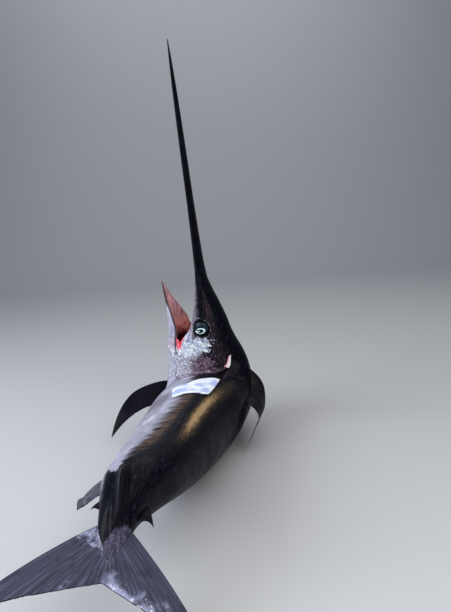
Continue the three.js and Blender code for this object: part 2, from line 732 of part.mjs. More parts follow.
// Breast fins. Each starts on a root line low on its flank. Its coordinates are across, from the front edge
// to the rear one, and out to the tip. Across follows the root line first and the blade's own width further out.
const BREAST_FINS = {
  breast_fin_left: { front: [0.245, 164], rear: [0.300, 160], reach: [-174, -148, -125], blade: [52, -39, -44],
    arch: 38, root: [[0, 0], [1, 0]], tip: [-0.02, 1], notch: [0.01, 0.37], heel: [1.26, 0.2], bulge: [-1.09, 0.01],
    rays: 12, steps: 6, crowd: 0.9, thick: [5, 1.6], trail: 0.6, ridge: 1.2 },
  breast_fin_right: { front: [0.272, -150], rear: [0.318, -150], reach: [-106, -180, -58], blade: [18, -57, -5],
    arch: 0, root: [[0, 0], [1, 0]], tip: [0.95, 1], notch: [0.98, 0.52], heel: [1.12, 0.2], bulge: [-0.42, 0.1],
    rays: 8, steps: 5, crowd: 0.9, thick: [5, 1.6], trail: 0.6, ridge: 1.2 },
}
const ROOT_DEPTH = 9
for (const [name, fin] of Object.entries(BREAST_FINS)) {
  const front = skinPoint(...fin.front, -ROOT_DEPTH)
  const rootLine = skinPoint(...fin.rear, -ROOT_DEPTH).sub(front)
  const reach = new THREE.Vector3(...fin.reach)
  const blade = new THREE.Vector3(...fin.blade)
  const above = new THREE.Vector3().crossVectors(reach, blade).normalize()
  const map = (across, out) => front.clone()
    .addScaledVector(rootLine.clone().lerp(blade, smooth(out, 0, 0.5)), across)
    .addScaledVector(reach, out)
    .addScaledVector(above, fin.arch * 4 * out * (1 - out))
  addNode(name, standingOn(finSolid(fin, map), ['head', 'shoulder', 'chest']), SLATE)
}

// The paper slip on the fish's upper side, following the skin. Its front and rear edges bow forwards.
const SLIP = { front: [[0.371, 52], [0.437, 99.5]], rear: [[0.490, 50.5], [0.503, 91.5]], bow: [0.022, 0.011],
  steps: 8, lift: 0.5, thick: 0.7 }

function slipPlace(u, v) {
  const bowed = 4 * v * (1 - v)
  const front = mix(SLIP.front[0][0], SLIP.front[1][0], v) - SLIP.bow[0] * bowed
  const rear = mix(SLIP.rear[0][0], SLIP.rear[1][0], v) - SLIP.bow[1] * bowed
  const angle = mix(mix(SLIP.front[0][1], SLIP.front[1][1], v), mix(SLIP.rear[0][1], SLIP.rear[1][1], v), u)
  return [mix(front, rear, u), angle]
}

const slipTop = []
const slipUnder = []
for (let i = 0; i <= SLIP.steps; i++) {
  for (let j = 0; j <= SLIP.steps; j++) {
    const [s, angle] = slipPlace(i / SLIP.steps, j / SLIP.steps)
    slipUnder.push(skinPoint(s, angle, SLIP.lift))
    slipTop.push(skinPoint(s, angle, SLIP.lift + SLIP.thick))
  }
}
addNode('paper_slip', sheetSolid(slipTop, slipUnder, SLIP.steps + 1), PAPER)

export default group
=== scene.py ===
"""A caught swordfish as a still, life-size model: its looks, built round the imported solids.

The fish lies on its right side, its head bent upwards so that the sword stands nearly upright.
Places on the fish are shares of its length, then millimetres towards its back and its left side.
The pose and outline are the named values of the solids, so every piece lies where its solid is.
"""

import math

import bpy
import numpy as np
from mathutils import Matrix


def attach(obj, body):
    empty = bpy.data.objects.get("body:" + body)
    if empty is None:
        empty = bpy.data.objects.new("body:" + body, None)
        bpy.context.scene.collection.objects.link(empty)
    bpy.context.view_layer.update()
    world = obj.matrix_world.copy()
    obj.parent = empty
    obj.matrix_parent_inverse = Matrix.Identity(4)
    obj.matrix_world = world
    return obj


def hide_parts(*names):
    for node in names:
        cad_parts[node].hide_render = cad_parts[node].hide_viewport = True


MM = 0.001

# The whole fish in mm, and its pose: bearings, slopes and rolls in degrees, looking towards the head.
LENGTH = 1400
SWORD_REACH = 0.4895
SKIN_SINK = 4
FORK_PLACE = (-55.16, -533.12, 131)
BEARING = {"head": 25.2, "shoulder": 12, "trunk": 8.7, "rear": 8.7, "tail": 6}
SLOPE = {"head": 98.2, "shoulder": 2.8, "trunk": -5.1, "rear": -10.2, "tail": 22.4}
ROLL = {"head": 10, "shoulder": -11.9, "trunk": -11.9, "rear": -11.9, "tail": 19.6}
NECK = (0.164, 0.319)
CHEST = (0.30, 0.50)
WAIST = (0.50, 0.75)
STALK_TWIST = (0.80, 0.96)

# Outline of the body as shares of LENGTH: (place, size).
SNOUT = -0.03
STALK_END = 0.958
BACK = ((-0.03, 0.0098), (0, 0.0125), (0.0265, 0.021), (0.055, 0.032), (0.0925, 0.0445), (0.121, 0.0515),
        (0.145, 0.0605), (0.17, 0.0725), (0.20, 0.0855), (0.24, 0.0955), (0.30, 0.1035), (0.38, 0.1025),
        (0.50, 0.0890), (0.62, 0.0785), (0.74, 0.0655), (0.80, 0.0545), (0.84, 0.0445), (0.90, 0.0275),
        (0.935, 0.0195), (0.958, 0.0100), (0.97, 0.006))
PALATE = ((-0.03, 0.0092), (0, 0.0105), (0.017, 0.0125), (0.05, 0.0205), (0.085, 0.031),
          (0.103, 0.0395), (0.124, 0.0512), (0.1415, 0.0622), (0.15, 0.0660))
THROAT = ((0.14, 0.0955), (0.165, 0.099), (0.20, 0.1025), (0.235, 0.104), (0.30, 0.1025), (0.38, 0.1000),
          (0.50, 0.0875), (0.62, 0.0770), (0.74, 0.0635), (0.80, 0.0530), (0.84, 0.0435), (0.90, 0.0275),
          (0.935, 0.0195), (0.958, 0.0100), (0.97, 0.006))
HALF_WIDTH = ((-0.03, 0.0235), (0, 0.027), (0.05, 0.0345), (0.10, 0.0435), (0.14, 0.0505), (0.18, 0.0575),
              (0.23, 0.0655), (0.30, 0.0731), (0.38, 0.0752), (0.50, 0.0716), (0.62, 0.0615), (0.74, 0.0503),
              (0.80, 0.0440), (0.84, 0.0400), (0.90, 0.0278), (0.935, 0.0165), (0.96, 0.0055))
PALATE_END = 0.1415
THROAT_START = 0.1495
SQUEEZE = {"at": 0.245, "spread": 0.06, "share": 0.27}
KEEL = {"from": 0.835, "full": 0.9, "until": 0.915, "to": 0.957, "height": 30, "spread": 10}
# Powers of the section's form: 1 is an oval, less is fuller and more has sharper edges.
FORM = {"body": 0.92, "under head": 0.62, "sword": 1.15}
# Where the form under the head passes into the body's, and how far behind SNOUT the sword's begins.
UNDER_HEAD_ENDS = (0.125, 0.17)
SWORD_BLEND = 0.05

# The sword: half thickness and half width in mm against its share of the way to the tip.
SWORD_THICK = ((0, 13.3), (0.08, 11.5), (0.3, 8.3), (0.52, 7.3), (0.74, 5.6), (0.92, 3.0), (1, 1.0))
SWORD_WIDE = ((0, 32.9), (0.08, 30), (0.3, 25), (0.52, 21), (0.74, 16), (0.92, 8.5), (1, 1.6))

# The lower jaw: depth below the middle line of its outer edge and of its rim, and its half width.
JAW_OUTER = ((0, 0.0925), (0.025, 0.0893), (0.058, 0.0860), (0.092, 0.087), (0.13, 0.0914), (0.165, 0.0955))
JAW_RIM = ((0, 0.0905), (0.035, 0.0828), (0.07, 0.0712), (0.103, 0.0618), (0.144, 0.0632), (0.165, 0.0660))
JAW_HALF = ((0, 0.0018), (0.035, 0.0145), (0.07, 0.0265), (0.103, 0.036), (0.144, 0.0435), (0.165, 0.0465))
# The far rim of the jaw is pressed up by the floor, in mm.
JAW_LEAN = ((0, 0), (0.05, 5), (0.085, 10), (0.11, 9), (0.135, 4), (0.165, 0))
JAW_WALL = 5
JAW_FLOOR = 8

# Head details in mm.
EYE_AT = (0.101, -0.0023)
EYE_RADIUS = 25
EYE_DEPTH = 16
EYE_BULGE = 3
SOCKET = EYE_RADIUS + 2.6
NOSTRILS = ((0.066, 0.012, 2.4), (0.0745, 0.0125, 3.2))
# The gill cover's rear edge: degrees round the body from the back, place along it.
GILL_EDGE = ((0, 0.172), (30, 0.166), (43, 0.169), (56, 0.197), (75, 0.235), (98, 0.252), (125, 0.238),
             (150, 0.21), (180, 0.20))
# Where the cover stands off the skin, round the body in degrees, and what its lower half loses of that.
GILL_COVER = ((30, 48), (78, 98), (140, 165))
GILL_COVER_LOSS = 0.75
# The gill's flap leans this share along and round the body, and the head's radius is a share of LENGTH.
GILL_LEAN = (0.55, 0.84)
HEAD_RADIUS = 0.06
GILL_ROPE = {"from": 42, "to": 60, "radius": 7, "behind": -0.0035, "raised": 1.5, "start": 0.3}

# The camera: its place and aim, from the photograph's viewing angle.
CAMERA_PLACE = (0.17284, -1.48912, 0.7264)
CAMERA_PITCH = 9.708
CAMERA_ROLL = -3.835
CAMERA_LENS = 38.235
SENSOR = 36

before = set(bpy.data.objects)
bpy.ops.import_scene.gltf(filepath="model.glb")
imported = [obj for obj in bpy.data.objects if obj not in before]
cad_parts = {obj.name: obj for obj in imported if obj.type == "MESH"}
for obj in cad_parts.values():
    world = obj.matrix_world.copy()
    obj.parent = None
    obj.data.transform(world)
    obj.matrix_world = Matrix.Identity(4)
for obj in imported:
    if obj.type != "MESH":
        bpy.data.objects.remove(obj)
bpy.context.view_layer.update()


def smooth(x, a, b):
    t = np.clip((x - a) / (b - a), 0, 1)
    return t * t * (3 - 2 * t)


def mix(a, b, t):
    return a + (b - a) * t


def bell(x, middle, spread):
    return np.exp(-(((x - middle) / spread) ** 2))


def curve(points):
    """A curve through the given places that never overshoots between them."""
    x = np.array([p[0] for p in points], float)
    y = np.array([p[1] for p in points], float)
    slope = np.diff(y) / np.diff(x)
    tangent = np.empty(len(x))
    tangent[0] = slope[0]
    tangent[-1] = slope[-1]
    product = slope[:-1] * slope[1:]
    total = slope[:-1] + slope[1:]
    tangent[1:-1] = np.where(product > 0, 2 * product / np.where(total == 0, 1, total), 0)

    def at(value):
        v = np.clip(value, x[0], x[-1])
        i = np.clip(np.searchsorted(x, v, side="right") - 1, 0, len(x) - 2)
        h = x[i + 1] - x[i]
        t = (v - x[i]) / h
        t2 = t * t
        t3 = t2 * t
        start = (2 * t3 - 3 * t2 + 1) * y[i] + (t3 - 2 * t2 + t) * h * tangent[i]
        return start + (3 * t2 - 2 * t3) * y[i + 1] + (t3 - t2) * h * tangent[i + 1]

    return at


def pose_angle(kind, s):
    t = np.clip((s - NECK[0]) / (NECK[1] - NECK[0]), 0, 1)
    neck = 0.5 * t + 0.5 * t * t * (3 - 2 * t)
    angle = mix(kind["head"], kind["shoulder"], neck)
    angle = angle + (kind["trunk"] - kind["shoulder"]) * smooth(s, *CHEST)
    angle = angle + (kind["rear"] - kind["trunk"]) * smooth(s, *WAIST)
    angle = angle + (kind["tail"] - kind["rear"]) * smooth(s, *STALK_TWIST)
    return np.radians(angle)


def directions(s):
    """Directions at a place: ahead to the snout, towards the back, and towards the fish's left side."""
    bearing = pose_angle(BEARING, s)
    slope = pose_angle(SLOPE, s)
    roll = pose_angle(ROLL, s)[..., None]
    east = np.sin(bearing)
    north = np.cos(bearing)
    ahead = np.stack([east * np.cos(slope), north * np.cos(slope), np.sin(slope)], -1)
    level = np.stack([-east * np.sin(slope), -north * np.sin(slope), np.cos(slope)], -1)
    up = np.cross(ahead, level)
    back = up * np.cos(roll) - level * np.sin(roll)
    left = level * np.cos(roll) + up * np.sin(roll)
    return ahead, back, left


# The middle line, stepped out once from a little behind the fork to past the sword's tip.
SPINE_STEP = 0.001
SPINE_FIRST = 1.1
SPINE_LAST = -0.55


def middle_line():
    places = np.arange(SPINE_FIRST, SPINE_LAST, -SPINE_STEP)
    ahead = directions(places[:-1] - SPINE_STEP / 2)[0]
    fork_ahead = directions(np.array(1.0))[0]
    start = np.array(FORK_PLACE, float) - (0, 0, SKIN_SINK) - fork_ahead * (SPINE_FIRST - 1) * LENGTH
    steps = np.cumsum(ahead * SPINE_STEP * LENGTH, axis=0)
    return np.vstack([start, start + steps])


SPINE = middle_line()


def place(s, back, left):
    """A point of the fish: its place along the body, then mm towards the back and its left side."""
    s, back, left = np.broadcast_arrays(s, back, left)
    k = np.clip((SPINE_FIRST - s) / SPINE_STEP, 0, len(SPINE) - 1.001)
    i = k.astype(int)
    t = (k - i)[..., None]
    _, to_back, to_left = directions(s)
    return SPINE[i] * (1 - t) + SPINE[i + 1] * t + to_back * back[..., None] + to_left * left[..., None]


back_at = curve(BACK)
palate_at = curve(PALATE)
throat_at = curve(THROAT)
half_at = curve(HALF_WIDTH)
thick_at = curve(SWORD_THICK)
wide_at = curve(SWORD_WIDE)
jaw_outer_at = curve(JAW_OUTER)
jaw_rim_at = curve(JAW_RIM)
jaw_half_at = curve(JAW_HALF)
jaw_lean_at = curve(JAW_LEAN)
gill_edge_at = curve(GILL_EDGE)


def belly_at(s):
    return mix(palate_at(s), throat_at(s), smooth(s, PALATE_END, THROAT_START))


def gill_edge(angle):
    """The rear edge of the gill cover, for a direction round the body in degrees from the back."""
    return gill_edge_at(np.abs(angle))


def cover_strength(angle):
    side = np.abs(angle)
    rise, ease, fall = GILL_COVER
    return smooth(side, *rise) * (1 - GILL_COVER_LOSS * smooth(side, *ease)) * (1 - smooth(side, *fall))


def power_of(x, power):
    return np.sign(x) * np.abs(x) ** power


def section(s, angle, raised=0.0):
    """The skin's section as (back, left) in mm, raised all round by some mm."""
    a = np.radians(angle)
    c = np.cos(a)
    n = np.sin(a)
    body = FORM["body"]
    lower = mix(FORM["under head"], body, smooth(s, *UNDER_HEAD_ENDS))
    power = np.where(c < 0, mix(body, lower, smooth(-c, 0, 0.2)), body)
    depth = np.where(c > 0, back_at(s), belly_at(s)) * LENGTH
    keel_shape = smooth(s, KEEL["from"], KEEL["full"]) * (1 - smooth(s, KEEL["until"], KEEL["to"]))
    keel = KEEL["height"] * keel_shape * bell(np.abs(angle), 90, KEEL["spread"])
    squeezed = np.where(n > 0, SQUEEZE["share"] * bell(s, SQUEEZE["at"], SQUEEZE["spread"]), 0)
    half = half_at(s) * LENGTH * (1 - squeezed)
    back = power_of(c, power) * depth
    left = power_of(n, power) * half + np.sign(n) * keel
    sword = smooth(s, SNOUT + SWORD_BLEND, SNOUT)
    t = np.clip((SNOUT - s) / (SWORD_REACH + SNOUT), 0, 1)
    sword_back = power_of(c, FORM["sword"]) * np.where(s < SNOUT, thick_at(t), depth)
    sword_left = n * np.where(s < SNOUT, wide_at(t), half)
    back = mix(back, sword_back, sword)
    left = mix(left, sword_left, sword)
    return back + c * raised, left + n * raised


# Meshes

SIDES = {1: "left", -1: "right"}
NO_ENDS = np.zeros((2, 3))


def grid_faces(rows, columns, wrap=False):
    across = columns if wrap else columns - 1
    i, j = np.meshgrid(np.arange(rows - 1), np.arange(across), indexing="ij")
    k = (j + 1) % columns
    quads = np.stack([i * columns + j, (i + 1) * columns + j, (i + 1) * columns + k, i * columns + k], -1)
    return quads.reshape(-1, 4).tolist()


def tube_faces(rows, columns):
    """Faces of a closed tube, whose last two points are the middles of its ends."""
    faces = grid_faces(rows, columns, wrap=True)
    middle = rows * columns
    for j in range(columns):
        k = (j + 1) % columns
        faces.append([middle, j, k])
        faces.append([middle + 1, middle - columns + k, middle - columns + j])
    return faces


def tube_points(points):
    return np.vstack([points.reshape(-1, 3), points[0].mean(0), points[-1].mean(0)])


def with_ends(values, shape, ends=(0, 0)):
    """A field at all points of a tube: its values on the grid, then those at the middles of the ends."""
    return np.append(np.broadcast_to(values, shape).ravel(), ends)


def sheet_faces(rows, columns):
    """Faces of a thin sheet between two equal grids of points, its upper side and its under side."""
    count = rows * columns
    upper = grid_faces(rows, columns)
    under = [[count + k for k in reversed(face)] for face in upper]
    rim = list(range(columns))
    rim += [k * columns + columns - 1 for k in range(1, rows)]
    rim += [(rows - 1) * columns + i for i in range(columns - 2, -1, -1)]
    rim += [k * columns for k in range(rows - 2, 0, -1)]
    closing = [[a, b, count + b, count + a] for a, b in zip(rim, rim[1:] + rim[:1])]
    return upper + under + closing


def signed_volume(points, faces):
    total = 0.0
    for size in (3, 4):
        group = np.array([f for f in faces if len(f) == size])
        for k in range(1, size - 1):
            if len(group):
                a, b, c = points[group[:, 0]], points[group[:, k]], points[group[:, k + 1]]
                total += np.einsum("ij,ij->i", a, np.cross(b, c)).sum() / 6
    return total


def make_piece(name, points, faces, fields, material, replaced=()):
    """A mesh object from points in mm, with named fields on its points, riding on the fish."""
    if signed_volume(points, faces) < 0:
        faces = [face[::-1] for face in faces]
    mesh = bpy.data.meshes.new(name)
    mesh.from_pydata((points * MM).tolist(), [], faces)
    mesh.polygons.foreach_set("use_smooth", np.ones(len(mesh.polygons), bool))
    for field, values in fields.items():
        values = np.asarray(values, float)
        vector = values.ndim == 2
        attribute = mesh.attributes.new(field, "FLOAT_VECTOR" if vector else "FLOAT", "POINT")
        attribute.data.foreach_set("vector" if vector else "value", values.ravel())
    mesh.materials.append(material)
    mesh.update()
    piece = bpy.data.objects.new(name, mesh)
    bpy.context.scene.collection.objects.link(piece)
    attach(piece, "root")
    if replaced:
        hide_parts(*replaced)
    return piece


def straight(s, back, left):
    """Coordinates of a point as if the fish lay straight, in metres: all markings use them."""
    s, back, left = np.broadcast_arrays(s, back, left)
    return np.stack([s * LENGTH, back, left], -1).reshape(-1, 3) * MM


def above_floor(points, lift=0.0):
    points[..., 2] = np.maximum(points[..., 2], lift)


# Materials: a small layer over shader nodes


def rgb(colour):
    """A colour of three display values from 0 to 255, as the linear values of a shader's socket."""
    parts = []
    for value in colour:
        v = value / 255
        parts.append(v / 12.92 if v <= 0.04045 else ((v + 0.055) / 1.055) ** 2.4)
    return (*parts, 1.0)


class Shader:
    """A procedural material with one glossy surface. Any value may be a socket or the name of a field."""

    def __init__(self, name, roughness=0.4, coat=0.0, coat_roughness=0.05, specular=0.5):
        self.material = bpy.data.materials.new(name)
        self.material.use_nodes = True
        self.tree = self.material.node_tree
        self.surface = self.tree.nodes["Principled BSDF"]
        self.surface.inputs["Roughness"].default_value = roughness
        self.surface.inputs["Coat Weight"].default_value = coat
        self.surface.inputs["Coat Roughness"].default_value = coat_roughness
        self.surface.inputs["Specular IOR Level"].default_value = specular
        self.fields = {}

    def node(self, kind, inputs=(), output=0, **settings):
        """An output of a new node whose inputs, by name or number, are set or linked."""
        node = self.tree.nodes.new(kind)
        for key, value in settings.items():
            setattr(node, key, value)
        for key, value in dict(inputs).items():
            self.put(node.inputs[key], value)
        return node.outputs[output]

    def field(self, name, output="Fac"):
        key = (name, output)
        if key not in self.fields:
            self.fields[key] = self.node("ShaderNodeAttribute", output=output, attribute_name=name)
        return self.fields[key]

    def put(self, socket, value):
        if isinstance(value, str):
            value = self.field(value)
        if isinstance(value, bpy.types.NodeSocket):
            self.tree.links.new(value, socket)
        else:
            socket.default_value = rgb(value) if socket.type == "RGBA" else value

    def math(self, operation, a, b):
        return self.node("ShaderNodeMath", {0: a, 1: b}, operation=operation)

    def ramp(self, value, low, high, start=0.0, end=1.0):
        inputs = {"Value": value, "From Min": low, "From Max": high, "To Min": start, "To Max": end}
        return self.node("ShaderNodeMapRange", inputs, interpolation_type="SMOOTHSTEP")

    def noise(self, scale, detail, roughness, distortion=0.0, stretch=(1, 1, 1), of="straight"):
        """Noise over a field of coordinates, finer along an axis whose stretch is larger."""
        field = self.field(of, "Vector")
        where = self.node("ShaderNodeVectorMath", {0: field, 1: stretch}, operation="MULTIPLY")
        inputs = {"Vector": where, "Scale": scale, "Detail": detail, "Roughness": roughness}
        return self.node("ShaderNodeTexNoise", {**inputs, "Distortion": distortion})

    def blend(self, under, paint, share):
        return self.node("ShaderNodeMix", {0: share, 6: under, 7: paint}, 2, data_type="RGBA")

    def tints(self, colour, *steps):
        """Step by step, a share of a paint over a colour where a noise passes from low to high."""
        for paint, noise, low, high, *share in steps:
            colour = self.blend(colour, paint, self.ramp(noise, low, high, 0.0, *share))
        return colour

    def layers(self, colour, *steps):
        """Step by step, a paint over a colour where a mask, broken up by a noise, passes from low to high."""
        for paint, mask, noise, amount, low, high in steps:
            uneven = self.math("MULTIPLY", self.math("SUBTRACT", noise, 0.5), amount)
            cover = self.ramp(self.math("ADD", mask, uneven), low, high)
            share = self.math("MULTIPLY", cover, self.ramp(mask, 0.0, 0.15))
            colour = self.blend(colour, paint, share)
        return colour

    def finish(self, colour, roughness=None, bumps=()):
        """The material, once its colour, its roughness as a ramp and its bumps are linked."""
        self.put(self.surface.inputs["Base Color"], colour)
        if roughness:
            self.put(self.surface.inputs["Roughness"], self.ramp(*roughness))
        normal = self.surface.inputs["Normal"]
        for height, strength, distance in bumps:
            inputs = {"Height": height, "Strength": strength, "Distance": distance}
            if normal.is_linked:
                inputs["Normal"] = normal.links[0].from_socket
            self.put(normal, self.node("ShaderNodeBump", inputs))
        return self.material


def skin_material():
    shader = Shader("wet_skin", coat=0.07, coat_roughness=0.10, specular=0.03)
    streaks = shader.noise(4, 6, 0.6, stretch=(3, 40, 40))
    ribs = shader.noise(4, 5, 0.6, stretch=(48, 7, 7))
    hairs = shader.noise(4, 4, 0.65, stretch=(10, 90, 90))
    patches = shader.noise(14, 4, 0.55)
    mottle = shader.noise(70, 5, 0.65, 0.6)
    grit = shader.noise(105, 5, 0.7, 1.2)
    flecks = shader.noise(190, 4, 0.7, 0.8)
    fine = shader.noise(420, 3, 0.6, stretch=(1, 2.2, 2.2))

    # The paints: back, forehead, flank, gold band (a painted sheen over the skin's own bronze tone), belly,
    # gill cover, snout (whose paint also gives the breast fin's painted shade on the belly's pale band),
    # silver patch and tail's root, then the lining and the red corners of the mouth.
    # The dark back's thin bluish streaks are painted highlights.
    dark = shader.tints((5, 6, 13), ((23, 22, 32), streaks, 0.45, 0.80),
                        ((18, 14, 18), patches, 0.5, 0.8, 0.6), ((44, 46, 64), hairs, 0.54, 0.70, 0.7))
    dusk = shader.tints((30, 23, 28), ((98, 88, 102), hairs, 0.54, 0.70))
    brown = shader.tints((34, 27, 25), ((112, 92, 80), ribs, 0.38, 0.70),
                         ((24, 20, 21), streaks, 0.50, 0.70, 0.8))
    # The gold band's paints are a painted sheen: light reflected along the flank, over the skin's bronze
    # tone.
    olive_sheen = shader.tints((54, 45, 34), ((104, 86, 62), hairs, 0.35, 0.70))
    pale = shader.tints((156, 158, 178), ((124, 119, 140), ribs, 0.44, 0.64),
                        ((196, 200, 218), patches, 0.45, 0.75), ((122, 114, 136), streaks, 0.52, 0.72, 0.7),
                        ((98, 86, 106), grit, 0.56, 0.68, 0.6))
    purple = shader.tints((62, 46, 57), ((128, 106, 128), mottle, 0.46, 0.62),
                          ((28, 20, 28), flecks, 0.50, 0.62), ((186, 172, 192), grit, 0.55, 0.64, 0.7))
    grey_and_fin_shade = shader.tints((96, 90, 106), ((136, 130, 146), hairs, 0.4, 0.65))
    shine = shader.tints((214, 222, 226), ((140, 150, 184), mottle, 0.42, 0.58),
                         ((86, 76, 98), grit, 0.50, 0.60, 0.85), ((232, 238, 242), flecks, 0.56, 0.66))
    root = shader.tints((50, 48, 64), ((96, 95, 118), hairs, 0.42, 0.66),
                        ((150, 150, 176), grit, 0.56, 0.70, 0.5))
    lining = shader.tints((186, 136, 142), ((140, 88, 96), mottle, 0.35, 0.7))
    red = shader.tints((206, 52, 72), ((242, 150, 164), grit, 0.44, 0.60))
    colour = shader.layers(
        dark,
        (dusk, "dusk", streaks, 0.9, 0.3, 0.9),
        (brown, "bronze", ribs, 0.8, 0.25, 1.0),
        # painted sheen: the gold band, over the skin's own bronze tone
        (olive_sheen, "gold_sheen", ribs, 0.7, 0.10, 0.95),
        ((162, 136, 100), "gold_sheen", hairs, 1.4, 0.60, 1.50),
        (pale, "belly", ribs, 1.6, 0.25, 0.85),
        (purple, "cheek", grit, 3.4, 0.30, 0.70),
        # the snout's own mauve edge, and the breast fin's painted shade on the belly's pale band
        (grey_and_fin_shade, "lilac_and_fin_shade", hairs, 0.9, 0.20, 1.10),
        (shine, "silver", flecks, 3.4, 0.35, 0.70),
        ((118, 126, 138), "halo", grit, 2.2, 0.55, 1.1),
        (root, "tail", hairs, 0.8, 0.25, 0.85),
        ((176, 192, 194), "ring", mottle, 1.4, 0.45, 0.9),
    )
    colour = shader.blend(colour, lining, "mouth")
    colour = shader.layers(colour, (red, "corner", flecks, 0.5, 0.3, 0.7))
    # painted shade in the gaps: the mouth's pocket, the eye socket, under and behind the gill cover, the vent
    colour = shader.blend(colour, (18, 5, 8), "painted_shade")
    bumps = ((streaks, 0.25, 0.002), (ribs, 0.12, 0.001), (mottle, 0.22, 0.0012), (grit, 0.16, 0.0008),
             (fine, 0.10, 0.0005))
    return shader.finish(colour, (patches, 0.3, 0.75, 0.34, 0.55), bumps)


def jaw_material():
    shader = Shader("jaw_skin", coat=0.22, coat_roughness=0.12, specular=0.10)
    mottle = shader.noise(70, 5, 0.65, 0.6)
    patches = shader.noise(14, 4, 0.55)
    streaks = shader.noise(3, 5, 0.6, stretch=(6, 60, 60))
    flecks = shader.noise(190, 4, 0.7, 0.8)
    pale = shader.tints((164, 168, 190), ((128, 124, 146), mottle, 0.38, 0.66),
                        ((196, 196, 210), patches, 0.45, 0.75), ((112, 108, 128), streaks, 0.46, 0.66, 0.6),
                        ((108, 94, 112), flecks, 0.52, 0.64, 0.6))
    speck = shader.tints((232, 226, 234), ((116, 92, 112), mottle, 0.46, 0.56))
    pale = shader.layers(pale, (speck, "speck", flecks, 3.4, 0.35, 0.70),
                         ((206, 158, 176), "blush", flecks, 3.2, 0.85, 1.3),
                         ((60, 46, 54), "rimline", streaks, 0.5, 0.35, 0.95))
    lining = shader.tints((206, 158, 164), ((148, 106, 116), streaks, 0.35, 0.7),
                          ((120, 82, 92), patches, 0.45, 0.7, 0.4))
    rosy = shader.tints((255, 182, 172), ((214, 108, 106), mottle, 0.46, 0.62))
    lining = shader.layers(lining, (rosy, "red", mottle, 1.4, 0.3, 1.1))
    lining = shader.tints(lining, ((255, 214, 206), flecks, 0.56, 0.66, 0.7))
    # painted shade far back in the throat
    lining = shader.blend(lining, (60, 10, 16), "painted_shade")
    colour = shader.blend(pale, lining, "inside")
    colour = shader.layers(colour, ((46, 36, 42), "tip", mottle, 0.6, 0.3, 0.9))
    bumps = ((streaks, 0.3, 0.0015), (mottle, 0.18, 0.0012))
    return shader.finish(colour, (patches, 0.3, 0.75, 0.26, 0.46), bumps)


def fin_material(name, dark, light, base):
    """Membrane with fine rays; base is the colour where the root field is 1."""
    shader = Shader(name, coat=0.05, coat_roughness=0.14, specular=0.03)
    patches = shader.noise(26, 4, 0.6)
    mottle = shader.noise(120, 4, 0.6)
    streak = shader.noise(1, 5, 0.6, of="lie")
    colour = shader.tints(dark, (light, streak, 0.40, 0.78), (light, "ray", 0.5, 1.0, 0.25),
                          (dark, patches, 0.48, 0.75, 0.75))
    colour = shader.layers(colour, (base, "wash", patches, 2.2, 0.55, 1.1),
                           (base, "root", mottle, 2.4, 0.45, 1.2),
                           ((206, 210, 228), "wash", mottle, 3.0, 1.05, 1.25))
    colour = shader.blend(colour, dark, "front")
    colour = shader.tints(colour, ((16, 16, 24), "rim", 0.25, 0.6))
    colour = shader.layers(colour, ((190, 190, 202), "rim", mottle, 1.6, 0.95, 1.2))
    bumps = ((streak, 0.3, 0.0012), (mottle, 0.12, 0.0006))
    return shader.finish(colour, (patches, 0.3, 0.7, 0.36, 0.56), bumps)


def eye_material():
    shader = Shader("wet_eye", roughness=0.3, coat=0.12, coat_roughness=0.04, specular=0.05)
    grain = shader.noise(260, 4, 0.6)
    clouds = shader.noise(90, 3, 0.5)
    spokes = shader.noise(1, 4, 0.6, of="spokes")
    colour = shader.tints((5, 12, 24), ((24, 60, 80), spokes, 0.42, 0.75),
                          ((58, 96, 110), clouds, 0.52, 0.70, 0.3), ((4, 6, 10), "radius", 0.76, 0.90))
    # the lens's pale clouding, partly a painted reflection
    return shader.finish(shader.layers(colour, ((214, 236, 238), "cloud_and_glint", grain, 0.5, 0.35, 0.7)))


def gill_material():
    shader = Shader("gill", roughness=0.3, coat=0.5, coat_roughness=0.1)
    mottle = shader.noise(150, 3, 0.6)
    colour = shader.tints((206, 128, 134), ((160, 74, 84), mottle, 0.4, 0.65))
    return shader.finish(shader.blend(colour, (228, 228, 234), "pale"), bumps=((mottle, 0.4, 0.0008),))


def paper_material():
    shader = Shader("damp_paper", roughness=0.65, specular=0.35)
    damp = shader.noise(22, 3, 0.5)
    fibre = shader.noise(900, 4, 0.7)
    colour = shader.tints((226, 232, 244), ((166, 182, 228), damp, 0.44, 0.60))
    return shader.finish(colour, bumps=((fibre, 0.15, 0.0003), (damp, 0.3, 0.002)))


SKIN = skin_material()
JAW = jaw_material()
FIN = fin_material("wet_fin", (12, 12, 18), (38, 36, 44), (44, 34, 30))
BREAST_FIN = fin_material("wet_breast_fin", (7, 7, 15), (26, 24, 36), (104, 60, 34))
PALE_FIN = fin_material("wet_anal_fin", (52, 50, 64), (126, 124, 144), (136, 132, 150))
TAIL_FIN = fin_material("wet_tail_fin", (44, 45, 60), (100, 103, 126), (156, 160, 190))
EYE = eye_material()
GILL = gill_material()
PAPER = paper_material()


# The skin, one mesh from the sword's tip to the end of the tail stalk

COLUMNS = 240
ROWS = {"sword": 120, "snout": 170, "mouth": 44, "cover": 40, "edge": 64, "shoulder": 70, "body": 260}
SHOULDER_END = 0.40
GILL_BAND = (0.015, 0.045)
